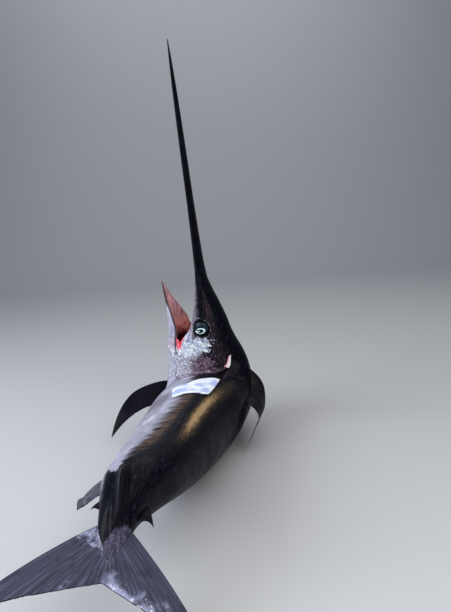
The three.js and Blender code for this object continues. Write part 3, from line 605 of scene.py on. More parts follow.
# The path of the skin over the gill cover's edge: share of the band, share of LENGTH, mm out.
COVER_PATH_ALONG = ((0, -0.015), (0.30, -0.008), (0.45, -0.003), (0.52, 0.0012), (0.56, 0.0022),
                    (0.60, 0.0008), (0.70, -0.0080), (0.78, -0.0040), (0.86, 0.010), (1, 0.045))
COVER_PATH_OUT = ((0, 0), (0.30, 1.8), (0.45, 3.8), (0.52, 3.4), (0.56, 2.0), (0.60, 0.0),
                  (0.70, -5.0), (0.78, -6.4), (0.86, -4.8), (1, 0))
cover_along = curve(COVER_PATH_ALONG)
cover_out = curve(COVER_PATH_OUT)
GULLET_DEEP = 0.050
VENT = (0.632, 176)
# Past its end the stalk's skin closes in a flat wedge between the tail lobes.
STALK_TIP_ROWS = 12
STALK_TIP = 0.012
# Heights of the head's small forms, in mm.
RELIEF = {"socket": -9.0, "ring": 1.8, "groove": -1.0, "nostril": -3.4, "nostril rim": 0.7, "lip": 1.2,
          "vault": -4.5, "bend folds": 0.7, "armpit folds": 1.1, "vent": -3.0, "vent rim": 1.2}

# Lines of the markings. Against the place: degrees round the body where the pale belly starts, and of the
# gold band's middle, a painted sheen. Against those degrees: the belly's end, the silver patch's two edges,
# the tail's root.
BELLY_LINE = ((0.15, 92), (0.165, 97), (0.185, 106), (0.21, 99), (0.26, 98), (0.30, 92), (0.34, 88),
              (0.42, 84), (0.54, 83), (0.66, 86), (0.74, 87), (0.78, 92), (0.86, 96), (0.90, 98))
GOLD_SHEEN_LINE = ((0.30, 36), (0.36, 38), (0.48, 44), (0.60, 47), (0.72, 42))
BELLY_END = ((80, 0.820), (92, 0.832), (102, 0.858), (116, 0.856), (126, 0.840), (140, 0.836))
PATCH_TOP = ((70, 0.128), (80, 0.1255), (88, 0.119), (97, 0.1185), (108, 0.127), (118, 0.122), (140, 0.120))
PATCH_END = ((70, 0.144), (80, 0.1495), (96, 0.157), (117, 0.1635), (140, 0.163))
TAIL_ROOT = ((60, 0.927), (80, 0.936), (100, 0.942), (120, 0.947), (145, 0.952))
# How those lines wander: size, rate and start of each wave, in degrees along the body and in places round it.
WANDER = ((3.0, 210, 1.3), (2.0, 470, 0.5), (1.2, 1100, 0))
SHIFT = ((0.0030, 0.42, 1), (0.0020, 1.1, 2))
# Where each marking rises and falls along the body.
ALONG = {"bronze": ((0.30, 0.46), (0.74, 0.86)), "gold_sheen": ((0.39, 0.54), (0.60, 0.76)),
         "faint sheen": ((0.28, 0.40), (0.68, 0.80)), "cheek": ((0.150, 0.172), (0.29, 0.34)),
         "dusk": ((-0.02, 0.05), (0.24, 0.30)), "throat": ((0.150, 0.165), (0.20, 0.27)),
         "pale lip": ((0.085, 0.11), (0.138, 0.146)), "snout": ((-0.05, 0.045), (0.13, 0.15)),
         "corner": ((0.145, 0.16), (0.20, 0.26)), "lip": ((-0.03, 0.0), (0.13, 0.142)),
         "vault": ((-0.01, 0.03), (0.13, 0.142))}
# Where each marking rises and falls round the body, in degrees from the back.
AROUND = {"throat": ((94, 112), (150, 170)), "fin shade strip": ((90, 104), (125, 150)),
          "bend folds": ((20, 50), (95, 130))}


def band(x, rise, fall):
    """1 between two soft edges: it rises over the first pair of values and falls over the second."""
    return smooth(x, *rise) * (1 - smooth(x, *fall))


def line_at(points, x):
    return np.interp(x, *zip(*points))


def waves(parts, x):
    return sum(size * np.sin(x * rate + start) for size, rate, start in parts)


def vent_distance(s, around):
    return np.hypot((s - VENT[0]) * LENGTH / 14, (around - VENT[1]) / 4)


def skin_rows(angle):
    """Place along the body, mm out and share of the mouth's back wall, for each row of the skin."""
    edge = gill_edge(angle)
    strength = cover_strength(angle)
    nothing = np.zeros_like(angle)
    rows = []

    def span(name, start, end, wall=False):
        for t in np.arange(ROWS[name]) / ROWS[name]:
            rows.append((mix(start, end, t) + nothing, nothing, nothing + (t if wall else 0)))

    span("sword", -SWORD_REACH, SNOUT)
    span("snout", SNOUT, PALATE_END)
    span("mouth", PALATE_END, THROAT_START, wall=True)
    span("cover", THROAT_START, edge - GILL_BAND[0])
    for t in np.arange(ROWS["edge"]) / ROWS["edge"]:
        even = mix(-GILL_BAND[0], GILL_BAND[1], t)
        rows.append((edge + mix(even, cover_along(t), strength), strength * cover_out(t), nothing))
    span("shoulder", edge + GILL_BAND[1], SHOULDER_END)
    span("body", SHOULDER_END, STALK_END)
    rows += [(STALK_END + nothing, nothing, nothing)] * (STALK_TIP_ROWS + 1)
    return [np.array(values) for values in zip(*rows)]


def head_relief(s, angle, back):
    """Forms of the skin in mm: socket, nostrils, lip, roof of the mouth, folds and vent."""
    around = np.abs(angle)
    side = smooth(np.abs(np.sin(np.radians(angle))), 0.5, 0.75)
    r = np.hypot((s - EYE_AT[0]) * LENGTH, back - EYE_AT[1] * LENGTH)
    relief = RELIEF["socket"] * (1 - smooth(r, SOCKET - 2.0, SOCKET + 0.8))
    relief = relief + RELIEF["ring"] * bell(r, SOCKET + 3.0, 3.0)
    relief = relief + RELIEF["groove"] * bell(r, SOCKET + 10, 3.0)
    relief = relief * side
    for place_at, height, radius in NOSTRILS:
        gap = np.hypot((s - place_at) * LENGTH, back - height * LENGTH)
        hole = RELIEF["nostril"] * smooth(gap, radius, radius * 0.3)
        relief = relief + side * (hole + RELIEF["nostril rim"] * bell(gap, radius * 1.5, 1.0))
    relief = relief + RELIEF["lip"] * bell(around, 121, 5) * band(s, *ALONG["lip"])
    relief = relief + RELIEF["vault"] * smooth(around, 127, 146) * band(s, *ALONG["vault"])
    folds = np.sin((s - 0.0012 * np.abs(around - 70)) * 520 + 2 * np.sin(s * 90))
    bend = bell(s, 0.285, 0.035) * band(angle, *AROUND["bend folds"])
    armpit = bell(s, 0.27, 0.03) * bell(angle, 138, 16)
    relief = relief + folds * (RELIEF["bend folds"] * bend + RELIEF["armpit folds"] * armpit)
    vent = vent_distance(s, around)
    relief = relief + RELIEF["vent"] * bell(vent, 0, 0.7) + RELIEF["vent rim"] * bell(vent, 1.3, 0.4)
    return relief, r, side


def body_markings(s, angle):
    """The large markings of the skin, painted sheen and fin shade among them, as fields from 0 to about 1."""
    around = np.abs(angle)
    wander = waves(WANDER, s)
    shift = waves(SHIFT, around)
    belly_line = line_at(BELLY_LINE, s) + 0.5 * wander
    above_belly = 1 - smooth(around, belly_line, belly_line + 12)
    soft = mix(15, 24, smooth(s, 0.36, 0.44))
    end = line_at(BELLY_END, around) + 0.6 * shift
    belly = np.clip(0.5 + (around - belly_line) / soft, 0, 1.2) * (1 - smooth(s, end - 0.010, end + 0.006))
    under = smooth(around, 122, 150)
    belly = mix(belly, 1 - smooth(s, 0.80, 0.945), under) * smooth(s, 0.14, 0.16)

    # painted sheen: the gold band along its middle line, and a fainter, wider one round it
    line = line_at(GOLD_SHEEN_LINE, s) + 0.12 * wander
    gold_sheen = band(s, *ALONG["gold_sheen"]) * bell(angle, line, 7)
    gold_sheen = gold_sheen + 0.45 * band(s, *ALONG["faint sheen"]) * bell(angle, line - 3, 14)

    cheek = band(s, *ALONG["cheek"]) * smooth(around + wander, 68, 84) * (0.5 + 0.5 * above_belly)
    top = line_at(PATCH_TOP, around) + shift
    end = line_at(PATCH_END, around) - shift
    silver = band(s, (top - 0.006, top + 0.006), (end - 0.008, end + 0.006))
    silver = silver * smooth(around + 2.2 * wander - 700 * (s - 0.14), 60, 92)
    silver = np.maximum(silver, 0.5 * band(around, *AROUND["throat"]) * band(s, *ALONG["throat"]))
    silver = np.maximum(silver, bell(around, 117, 4) * band(s, *ALONG["pale lip"]))
    lilac_and_fin_shade = smooth(around, 82, 122) * band(s, *ALONG["snout"])
    # painted shade: the breast fin's shade as a darker band on the pale belly
    lilac_and_fin_shade = np.maximum(lilac_and_fin_shade, bell(s, 0.49, 0.090) * band(around, *AROUND["fin shade strip"]))
    root = line_at(TAIL_ROOT, around)
    return {"belly": belly, "gold_sheen": gold_sheen, "silver": silver, "lilac_and_fin_shade": lilac_and_fin_shade,
            "bronze": smooth(around, 56, 80) * above_belly * band(s, *ALONG["bronze"]),
            "cheek": cheek * (1 - smooth(around, 128, 155)),
            "dusk": 0.85 * band(s, *ALONG["dusk"]) * bell(around, 66, 20),
            "corner": 0.30 * smooth(around, 112, 128) * band(s, *ALONG["corner"]),
            "tail": smooth(s, root - 0.005, root + 0.009)}


def gap_markings(s, angle, out, wall, pocket, eye_distance, side):
    """The mouth's lining, the rings round the eye and the painted shade in every gap, as fields from 0 to
    about 1.
    """
    around = np.abs(angle)
    roof = np.where(s < THROAT_START, smooth(around, 140, 150) * smooth(s, 0.0, 0.05), 0)
    back_wall = np.where(wall > 0, smooth(around, 118, 140), 0)
    # painted shade in the gap round the eyeball
    gap = side * (1 - smooth(eye_distance, SOCKET - 1, SOCKET + 0.8))
    ring = side * bell(eye_distance, SOCKET + 1.6, 0.9) * (0.55 + 0.3 * smooth(90 - around, -10, 12))
    ahead_of_eye = smooth(s, EYE_AT[0] + 0.008, EYE_AT[0] - 0.014)
    halo = side * bell(eye_distance, SOCKET + 7, 5) * smooth(around, 78, 98) * (0.25 + 0.45 * ahead_of_eye)
    behind = s - gill_edge(angle)
    strength = cover_strength(angle)
    # painted shade under the gill cover, just behind its edge and in the vent
    under_cover = smooth(-out, 2.0, 4.5) * strength * (np.abs(behind) < 0.014)
    shade = 0.8 * bell(behind, 0.004, 0.005) * strength ** 1.5
    vent = 0.8 * bell(vent_distance(s, around), 0, 0.6)
    return {"mouth": np.maximum(roof, back_wall), "ring": ring, "halo": halo,
            "painted_shade": np.maximum.reduce([pocket ** 3, gap, under_cover, shade, vent])}


def build_skin():
    angle = np.linspace(0, 360, COLUMNS, endpoint=False)
    angle = np.where(angle > 180, angle - 360, angle)
    s, out, wall = skin_rows(angle)
    angle = np.broadcast_to(angle, s.shape)
    relief, eye_distance, side = head_relief(s, angle, section(s, angle)[0])
    back, left = section(s, angle, out + relief)
    lower = smooth(np.abs(angle), 117, 140)
    pocket = lower * np.sin(np.pi * wall) ** 0.6
    tuck = lower * np.sin(np.pi * wall) ** 0.3
    turn = np.zeros((len(s), 1))
    turn[-STALK_TIP_ROWS:, 0] = np.linspace(0, np.pi / 2, STALK_TIP_ROWS + 1)[1:]
    inside = s + GULLET_DEEP * pocket + STALK_TIP * np.sin(turn)
    thin = (0.02 + 0.98 * np.cos(turn)) * (1 - 0.35 * smooth(s, 0.93, STALK_END))
    narrow = 1 - 0.30 * np.sin(turn)
    points = place(inside, back * (1 - 0.10 * tuck) * narrow, left * (1 - 0.35 * pocket) * thin)
    above_floor(points)

    fields = {**body_markings(s, angle), **gap_markings(s, angle, out, wall, pocket, eye_distance, side)}
    fields = {name: with_ends(values, s.shape) for name, values in fields.items()}
    ends = straight(np.array([-SWORD_REACH, STALK_END]), 0, 0)
    fields["straight"] = np.vstack([straight(s, back, left), ends])
    make_piece("skin", tube_points(points), tube_faces(*s.shape), fields, SKIN,
               ("sword", "head", "shoulder", "chest", "flank", "rear", "tail_stalk"))


# The lower jaw, a trough whose outside runs on into the throat's skin, and the folds at the mouth's corners

JAW_ROWS = 130
JAW_COLUMNS = 121
JAW_TOP = 51.4
JAW_LAST = 0.19
RIM_POINTS = 6
# Where the jaw's outside turns into the throat's skin, and its inside into a lining under that skin.
JAW_JOIN = (0.112, THROAT_START)
LINING_JOIN = (0.128, THROAT_START)
# Where the jaw's markings and the painted shade far back in the throat rise along it, and where the dark tip
# and the blush end.
JAW_MARKS = {"tip end": (0.030, 0.078), "speck": (0.105, 0.15), "red": (0.055, 0.120), "painted_shade": (0.119, 0.140),
             "blush": (0.09, 0.135), "blush end": (0.140, 0.152)}
FOLD_ROWS = 60
FOLD_COLUMNS = 40
FOLD_ANGLE = 122
FOLD_END = 0.154
FOLD_THICK = 1.4
# The fold's front edge from the upper lip to the jaw's rim, and where the slanting lip meets that rim.
FOLD_EDGE = ((0, 0.0), (0.35, 0.015), (0.7, 0.031), (1, 0.020))
FOLD_LIP = 0.050
FOLD_FRONTS = {1: 0.100, -1: 0.086}


def jaw_section(s, turn, rim, outer, half):
    """A point of the jaw's own section: turn is -1 at its right rim, 0 below and 1 at its left rim."""
    a = turn * np.pi / 2
    across = power_of(np.sin(a), 0.8)
    lean = jaw_lean_at(s) * smooth(-across, 0, 1)
    return -(rim + (outer - rim) * np.cos(a) ** 0.8) + lean, across * half


def jaw_outside(s, turn, inwards=0.0):
    """The jaw's outside, or a surface some mm inside it; behind the mouth it turns into the throat's skin."""
    own = jaw_section(s, turn, *(at(s) * LENGTH for at in (jaw_rim_at, jaw_outer_at, jaw_half_at)))
    angle = np.where(turn >= 0, 180, -180) - turn * JAW_TOP
    raised = mix(0.5, -3.5, smooth(s, THROAT_START, JAW_LAST)) - inwards
    skin = section(np.maximum(s, THROAT_START), angle, raised)
    joined = smooth(s, *JAW_JOIN)
    return mix(own[0], skin[0], joined), mix(own[1], skin[1], joined)


def jaw_inside(s, turn, near_rim, near_left, depth, wall):
    """The trough's inside, which turns into a lining under the throat's skin."""
    floor = np.minimum(JAW_FLOOR, depth * 0.5)
    rim = 0.6 - near_rim
    back, left = jaw_section(s, turn, rim, rim + depth - floor, near_left - wall)
    back = back - jaw_lean_at(s) * smooth(-turn, 0, 1) * smooth(s, *JAW_JOIN)
    lining_back, lining_left = jaw_outside(s, turn, JAW_WALL)
    joined = smooth(s, *LINING_JOIN)
    ridge = 2.0 * bell(turn, 0, 0.07) * smooth(s, 0.02, 0.06)
    return mix(back, lining_back, joined) + ridge, mix(left, lining_left, joined)


def build_jaw():
    s = mix(0.0005, JAW_LAST, np.linspace(0, 1, JAW_ROWS) ** 1.1)[:, None]
    turn = np.linspace(-1, 1, JAW_COLUMNS)[None, :]
    outer = jaw_outside(s, turn)
    near_rim = outer[0][:, -1:]
    near_left = outer[1][:, -1:]
    lowest = outer[0][:, JAW_COLUMNS // 2:JAW_COLUMNS // 2 + 1]
    wall = np.minimum(JAW_WALL, near_left * 0.45)
    inner = jaw_inside(s, turn, near_rim, near_left, near_rim - lowest, wall)
    t = np.linspace(0, 1, RIM_POINTS + 2)[1:-1][None, :]
    lift = np.sin(np.pi * t) * wall * 0.45

    def round_section(out, inn, lift):
        over_left_rim = mix(out[:, -1:], inn[:, -1:], t) + lift
        over_right_rim = mix(inn[:, :1], out[:, :1], t) + lift
        return np.hstack([out, over_left_rim, inn[:, ::-1], over_right_rim])

    back = round_section(outer[0], inner[0], lift)
    left = round_section(outer[1], inner[1], 0)
    columns = back.shape[1]
    s = np.broadcast_to(s, back.shape)

    inside = np.zeros(columns)
    inside[JAW_COLUMNS:] = 1
    inside[JAW_COLUMNS:JAW_COLUMNS + RIM_POINTS] = np.linspace(0, 1, RIM_POINTS)
    inside[-RIM_POINTS:] = np.linspace(1, 0, RIM_POINTS)
    outside = 1 - inside
    rest = np.ones(columns - JAW_COLUMNS)
    near = smooth(np.append(turn[0], rest), 0.2, 0.9)
    blush = band(s, JAW_MARKS["blush"], JAW_MARKS["blush end"])
    fields = {"inside": inside, "tip": (1 - smooth(s, *JAW_MARKS["tip end"])) * outside,
              "speck": 0.55 * smooth(s, *JAW_MARKS["speck"]) * outside,
              "red": smooth(s, *JAW_MARKS["red"]) * inside, "painted_shade": smooth(s, *JAW_MARKS["painted_shade"]) * inside,
              "blush": (0.3 + 0.7 * near) * blush * outside,
              "rimline": np.append(bell(np.abs(turn[0]), 1, 0.10), rest)}
    fields = {name: with_ends(values, s.shape) for name, values in fields.items()}
    fields["straight"] = np.vstack([straight(s, back, left), NO_ENDS])
    make_piece("jaw_skin", tube_points(place(s, back, left)), tube_faces(*s.shape), fields, JAW,
               ("lower_jaw",))


def build_mouth_fold(side, front):
    """The skin at a corner of the mouth: it ends in a slanting lip, with red membrane showing before it."""
    across = np.linspace(0, 1, FOLD_COLUMNS)[None, :]
    start = front + line_at(FOLD_EDGE, across)
    s = mix(start, FOLD_END, np.linspace(0, 1, FOLD_ROWS)[:, None])
    flush = smooth(s, 0.134, 0.147)
    buried = 2.2 * smooth(s, 0.1510, FOLD_END)
    top = side * (FOLD_ANGLE - 10 * smooth(s, 0.132, 0.144))
    upper_back, upper_left = section(s, top, mix(-1.2, 0.6, flush) - buried)
    lower_back, lower_left = jaw_outside(s, np.full_like(s, float(side)), mix(1.5, -0.4, flush) + buried)
    sag = np.sin(np.pi * across) * 2.5 * (1 - flush)
    back = mix(upper_back, lower_back, across)
    points = []
    flat = []
    for inward in (0.0, FOLD_THICK):
        left = mix(upper_left, lower_left, across) - side * (sag + inward)
        points.append(place(s, back, left).reshape(-1, 3))
        flat.append(straight(s, back, left))
    lip = mix(start + 0.001, front + FOLD_LIP, np.clip(1 - np.abs(across - 0.80) / 0.42, 0, 1))
    shown = 1 - smooth(lip - s, -0.0015, 0.0030).ravel()
    nothing = np.zeros_like(shown)
    unmarked = ("bronze", "gold_sheen", "cheek", "lilac_and_fin_shade", "ring", "halo", "painted_shade", "dusk", "tail")
    fields = {name: np.zeros(2 * len(shown)) for name in unmarked}
    fields["belly"] = np.append(shown, nothing)
    fields["silver"] = 0.6 * fields["belly"]
    fields["corner"] = np.append(1 - shown, nothing)
    fields["mouth"] = np.append(nothing, nothing + 1)
    fields["straight"] = np.vstack(flat)
    make_piece("mouth_fold_" + SIDES[side], np.vstack(points), sheet_faces(*s.shape), fields, SKIN)


# Eyes. The cloudy lens, with a painted reflection in it, shows as an oval off the middle: away from the snout
# and towards the back, in radii.

EYE_RINGS = 64
EYE_COLUMNS = 128
EYE_SUNK = 9
LENS_AT = (0.20, -0.12)
LENS_SIZE = (0.37, 0.64)


def lens_cloud_and_glint(low, high):
    """The pale oval ring of the cloudy lens, partly a painted reflection, with its opening and its stroke,
    for places in radii of the eye.
    """
    low = low - LENS_AT[0] + 0.12 * (high - LENS_AT[1])
    high = high - LENS_AT[1]
    oval = np.hypot(low / LENS_SIZE[0], high / LENS_SIZE[1])
    opening = bell(np.arctan2(low, -high), -0.45, 0.35)
    stroke = bell(low, 0.0, 0.07) * smooth(-high, -0.05, 0.12) * (oval < 0.95)
    return 1.1 * bell(oval, 0.88, 0.20) * (1 - 0.7 * opening) + 0.9 * stroke


def build_eye(side):
    r = np.linspace(0, 1, EYE_RINGS + 1)[1:, None]
    turn = np.linspace(0, 2 * np.pi, EYE_COLUMNS, endpoint=False)[None, :]
    low = r * np.cos(turn)
    high = r * np.sin(turn)
    dome = np.sqrt(np.clip(1 - (r * 0.94) ** 2, 0, 1)) * EYE_DEPTH
    cornea = 1.2 * smooth(r, 0.45, 0.7)
    middle = half_at(EYE_AT[0]) * LENGTH - EYE_DEPTH + EYE_BULGE
    out = middle + dome - cornea + 0 * turn
    sinks = ((low, 0), (high, 0), (out, EYE_SUNK))
    low, high, out = (np.vstack([rows, rows[-1:] - sunk]) for rows, sunk in sinks)
    s = EYE_AT[0] + low * EYE_RADIUS / LENGTH
    back = EYE_AT[1] * LENGTH + high * EYE_RADIUS
    left = side * out
    points = place(s, back, left)
    front = place(np.array([EYE_AT[0]]), EYE_AT[1] * LENGTH, side * (middle + EYE_DEPTH))
    radius = np.hypot(low, high)
    direction = np.arctan2(low, high)
    spokes = np.stack([np.cos(direction) * 5, np.sin(direction) * 5, radius * 1.5], -1)
    fields = {"straight": np.vstack([straight(s, back, left), NO_ENDS]),
              "spokes": np.vstack([spokes.reshape(-1, 3), NO_ENDS]),
              "radius": with_ends(radius, s.shape, (0, 1)),
              "cloud_and_glint": with_ends(lens_cloud_and_glint(low, high), s.shape)}
    slot = "eye_" + SIDES[side]
    make_piece("eyeball_" + SIDES[side], np.vstack([points.reshape(-1, 3), front, points[-1].mean(0)]),
               tube_faces(*s.shape), fields, EYE, (slot,))


# The red flap with a pale edge that shows in the slit behind each gill cover

GILL_STEPS = 90
GILL_COLUMNS = 24
GILL_LIFT = 1.5
GILL_FLAT = 0.4


def build_gill(side):
    t = np.linspace(0, 1, GILL_STEPS)[:, None]
    turn = np.linspace(0, 2 * np.pi, GILL_COLUMNS, endpoint=False)[None, :]
    angle = side * mix(GILL_ROPE["from"], GILL_ROPE["to"], t)
    comb = 1 + 0.04 * np.sin(t * np.pi * 34)
    radius = GILL_ROPE["radius"] * mix(GILL_ROPE["start"], 1, t) * comb * (1 - 0.9 * smooth(t, 0.93, 1.0))
    over = radius * np.cos(turn)
    s = gill_edge(angle) + GILL_ROPE["behind"] + GILL_LEAN[0] * over / LENGTH
    around = angle - side * np.degrees(GILL_LEAN[1] * over / (HEAD_RADIUS * LENGTH))
    raised = GILL_ROPE["raised"] + GILL_LIFT + radius * np.sin(turn) * GILL_FLAT
    back, left = section(s, around, raised)
    pale = smooth(np.cos(turn), -0.65, -0.1)
    fields = {"straight": np.vstack([straight(s, back, left), NO_ENDS]),
              "pale": with_ends(pale, s.shape, (1, 1))}
    slot = "gill_" + SIDES[side]
    make_piece("gill_edge_" + SIDES[side], tube_points(place(s, back, left)), tube_faces(*s.shape), fields,
               GILL, (slot,))


# Fins: a fan of rays from the root line to the edge line

SMALL_FIN = {"rays": 8, "crowd": 1, "thick": (3, 1.2), "trail": 0.7, "ridge": 0.5, "droop": (0, 10, 0.02)}
MIDDLE_FINS = {
    "dorsal_fin": {"at": 0.197, "sign": 1, "root": ((0, -0.012), (0.140, -0.012)), "tip": (0.196, 0.115),
                   "notch": (0.186, 0.0215), "heel": (0.173, 0.008), "bulge": (-0.043, 0.016), "rays": 34,
                   "crowd": 0.9, "thick": (5, 1.6), "trail": 0.55, "ridge": 0.9, "droop": (25, 128, 0.063)},
    "second_dorsal_fin": {**SMALL_FIN, "at": 0.872, "sign": 1, "root": ((0, -0.006), (0.026, -0.006)),
                          "tip": (0.040, 0.022), "notch": (0.028, 0.010), "heel": (0.036, 0.003),
                          "bulge": (-0.002, 0.002)},
    "anal_fin": {"at": 0.662, "sign": -1, "root": ((0, -0.010), (0.168, -0.010)), "tip": (0.238, 0.0285),
                 "notch": (0.230, 0.012), "heel": (0.174, 0.003), "bulge": (-0.064, 0.039), "rays": 26,
                 "crowd": 0.9, "thick": (3.6, 1.4), "trail": 0.6, "ridge": 0.7, "droop": (0, 14, 0.05)},
    "second_anal_fin": {**SMALL_FIN, "at": 0.864, "sign": -1, "root": ((0, -0.006), (0.024, -0.006)),
                        "tip": (0.033, 0.0115), "notch": (0.026, 0.006), "heel": (0.031, 0.002),
                        "bulge": (-0.002, 0.001)},
}
LOBE = {"root": ((0.915, 0.010), (0.957, 0.0008)), "tip": (1.062, 0.152), "notch": (1.028, 0.062),
        "heel": (1.0015, -0.0006), "bulge": (-0.003, 0.004), "rays": 40, "crowd": 1.25, "thick": (12, 2),
        "trail": 0.6, "ridge": 0.7}
LOBE_DROOP = 0.030
# How far out the root's colour reaches, between which rays it starts, and how strong the pale edge is.
LOBE_MARKS = {1: {"root_mark": (0.25, 0.25, 0.9), "edge_mark": 0.9},
              -1: {"root_mark": (0.42, 0.0, 0.05), "edge_mark": 0.45}}
ROOT_MARK = (0.4, 0.02, 0.15)
FRONT_MARK = 0.8
BREAST_COMMON = {"root": ((0, 0), (1, 0)), "crowd": 0.9, "thick": (5, 1.6), "trail": 0.6, "ridge": 0.7,
                 "root_mark": (0.6, 0.45, 0.9)}
BREAST_FINS = {
    "breast_fin_left": {**BREAST_COMMON, "front": (0.245, 164), "rear": (0.300, 160),
                        "reach": (-174, -148, -125), "blade": (52, -39, -44), "arch": 38, "tip": (-0.02, 1),
                        "notch": (0.01, 0.37), "heel": (1.26, 0.2), "bulge": (-1.09, 0.01), "rays": 26},
    "breast_fin_right": {**BREAST_COMMON, "front": (0.272, -150), "rear": (0.318, -150),
                         "reach": (-106, -180, -58), "blade": (18, -57, -5), "arch": 0, "tip": (0.95, 1),
                         "notch": (0.98, 0.52), "heel": (1.12, 0.2), "bulge": (-0.42, 0.1), "rays": 20},
}
ROOT_DEPTH = 9
RAY_POINTS = 8
OUT_STEPS = 90
HANG_STEPS = 12
# The edge is frayed by this share of the reach, with a tear at about every so many points.
FRAY = 0.012
TEAR_EVERY = 24
ROUNDED_FRONT = 0.05
THINNEST = 0.25
STREAK_SCALE = 1.6
# The upper side stays this much above the under side where both are pressed on the floor, in mm.
PRESSED = 0.0002


def bezier(a, b, c, t):
    u = 1 - t
    return u * u * a + 2 * u * t * b + t * t * c


def hang(out, droop):
    """Out from the skin along a line that bends over from its first angle to its last."""
    first, last, within = droop
    up = np.zeros_like(out)
    over = np.zeros_like(out)
    for i in range(HANG_STEPS):
        d = out * (i + 0.5) / HANG_STEPS
        angle = np.radians(mix(first, last, smooth(d, 0, within)))
        up = up + np.cos(angle) * out / HANG_STEPS
        over = over + np.sin(angle) * out / HANG_STEPS
    return up, over


def fan(fin, t, out):
    """The fin's outline filled with rays: each place along its root (t) and out to its edge."""
    places = []
    for axis in range(2):
        root = mix(fin["root"][0][axis], fin["root"][1][axis], t)
        end = bezier(fin["tip"][axis], fin["notch"][axis], fin["heel"][axis], t ** fin["crowd"])
        middle = (root + end) / 2 + fin["bulge"][axis] * (1 - t) ** 1.5
        places.append(bezier(root, middle, end, out))
    return places


def build_fin(name, fin, to_space, material, seed, replaced=()):
    """A thin fin whose rays are ridges in its own surface. to_space gives points and straight places."""
    columns = fin["rays"] * RAY_POINTS + 1
    t = np.linspace(0, 1, columns)[:, None]
    out = np.linspace(0, 1, OUT_STEPS + 1)[None, :]
    random = np.random.default_rng(seed)
    jag = random.random(columns)[:, None]
    tear_places = np.arange(0, columns + TEAR_EVERY, TEAR_EVERY)
    tears = np.interp(np.arange(columns), tear_places, random.random(columns // TEAR_EVERY + 2))[:, None]
    reach = 1 - FRAY * (0.6 * jag + 1.6 * tears ** 3) * smooth(t, 0.03, 0.2)
    points, flat = to_space(*fan(fin, t, out * reach))
    normal = np.cross(np.gradient(points, axis=1), np.gradient(points, axis=0))
    normal /= np.linalg.norm(normal, axis=-1, keepdims=True) + 1e-12

    single = 0.5 + 0.5 * np.cos(2 * np.pi * t * fin["rays"])
    double = 0.5 + 0.5 * np.cos(4 * np.pi * t * fin["rays"])
    ray = mix(single, double, smooth(out, 0.45, 0.75))
    base = mix(*fin["thick"], out) * mix(1, fin["trail"], t ** 0.7)
    front = np.sqrt(1 - np.clip(1 - t / ROUNDED_FRONT, 0, 1) ** 2)
    rear = 1 - 0.75 * smooth(out, 0.9, 1.0)
    half = (base + ray * fin["ridge"] * (1 - 0.5 * out)) / 2 * mix(0.2, 1, front) * rear
    half = np.maximum(half, THINNEST)
    upper = points + normal * half[..., None]
    under = points - normal * half[..., None]
    above_floor(upper, PRESSED)
    above_floor(under)

    reach_out, from_t, to_t = fin.get("root_mark", ROOT_MARK)
    marks = {"ray": ray, "rim": smooth(out, 0.965, 1.0) * smooth(t, 0.02, 0.2),
             "root": (1 - smooth(out, 0.05, reach_out)) * smooth(t, from_t, to_t),
             "front": FRONT_MARK * (1 - smooth(t, 0.015, 0.06)),
             "wash": fin.get("edge_mark", 0) * smooth(out, 0.30, 1.0) * smooth(t, 0.10, 0.35)}
    fields = {key: np.tile(np.broadcast_to(values, half.shape).ravel(), 2) for key, values in marks.items()}
    lie = np.stack(np.broadcast_arrays(t * fin["rays"] * STREAK_SCALE, out * STREAK_SCALE, 0.0), -1)
    fields["lie"] = np.tile(lie.reshape(-1, 3), (2, 1))
    fields["straight"] = np.tile(flat, (2, 1))
    both = np.vstack([upper.reshape(-1, 3), under.reshape(-1, 3)])
    make_piece(name + "_skin", both, sheet_faces(*half.shape), fields, material, (name, *replaced))


def build_middle_fin(name, fin, seed):
    def to_space(along, out):
        s = fin["at"] + along
        edge = back_at(s) if fin["sign"] > 0 else belly_at(s)
        up, over = hang(np.maximum(out, 0), fin["droop"])
        up = np.where(out < 0, out, up)
        back = fin["sign"] * (edge + up) * LENGTH
        left = -over * LENGTH
        return place(s, back, left), straight(s, back, left)

    hanging = ("dorsal_fin_hanging",) if name == "dorsal_fin" else ()
    material = PALE_FIN if name == "anal_fin" else FIN
    build_fin(name, fin, to_space, material, seed, hanging)


def build_lobe(side, seed):
    def to_space(s, out):
        back = side * out * LENGTH
        left = -LOBE_DROOP * (out / LOBE["tip"][1]) ** 3 * LENGTH
        return place(s, back, left), straight(s, back, left)

    name = "tail_lobe_back" if side > 0 else "tail_lobe_belly"
    build_fin(name, {**LOBE, **LOBE_MARKS[side]}, to_space, TAIL_FIN, seed)


def build_breast_fin(name, fin, seed):
    front, rear = (place(np.array(s), *section(np.array(s), np.array(angle), -ROOT_DEPTH))
                   for s, angle in (fin["front"], fin["rear"]))
    reach = np.array(fin["reach"], float)
    blade = np.array(fin["blade"], float)
    above = np.cross(reach, blade)
    above /= np.linalg.norm(above)

    def to_space(across, out):
        width = mix(rear - front, blade, smooth(out, 0, 0.5)[..., None])
        points = front + width * across[..., None] + reach * out[..., None]
        points = points + above * (fin["arch"] * 4 * out * (1 - out))[..., None]
        return points, points.reshape(-1, 3) * MM

    build_fin(name, fin, to_space, BREAST_FIN, seed)


# The paper slip: the place and angle of its corners, and how far its two ends bow

SLIP = {"front": ((0.371, 52), (0.437, 99.5)), "rear": ((0.490, 50.5), (0.503, 91.5)),
        "bow": {"front": 0.022, "rear": 0.011}, "points": 91, "lift": 0.8, "thick": 0.4}


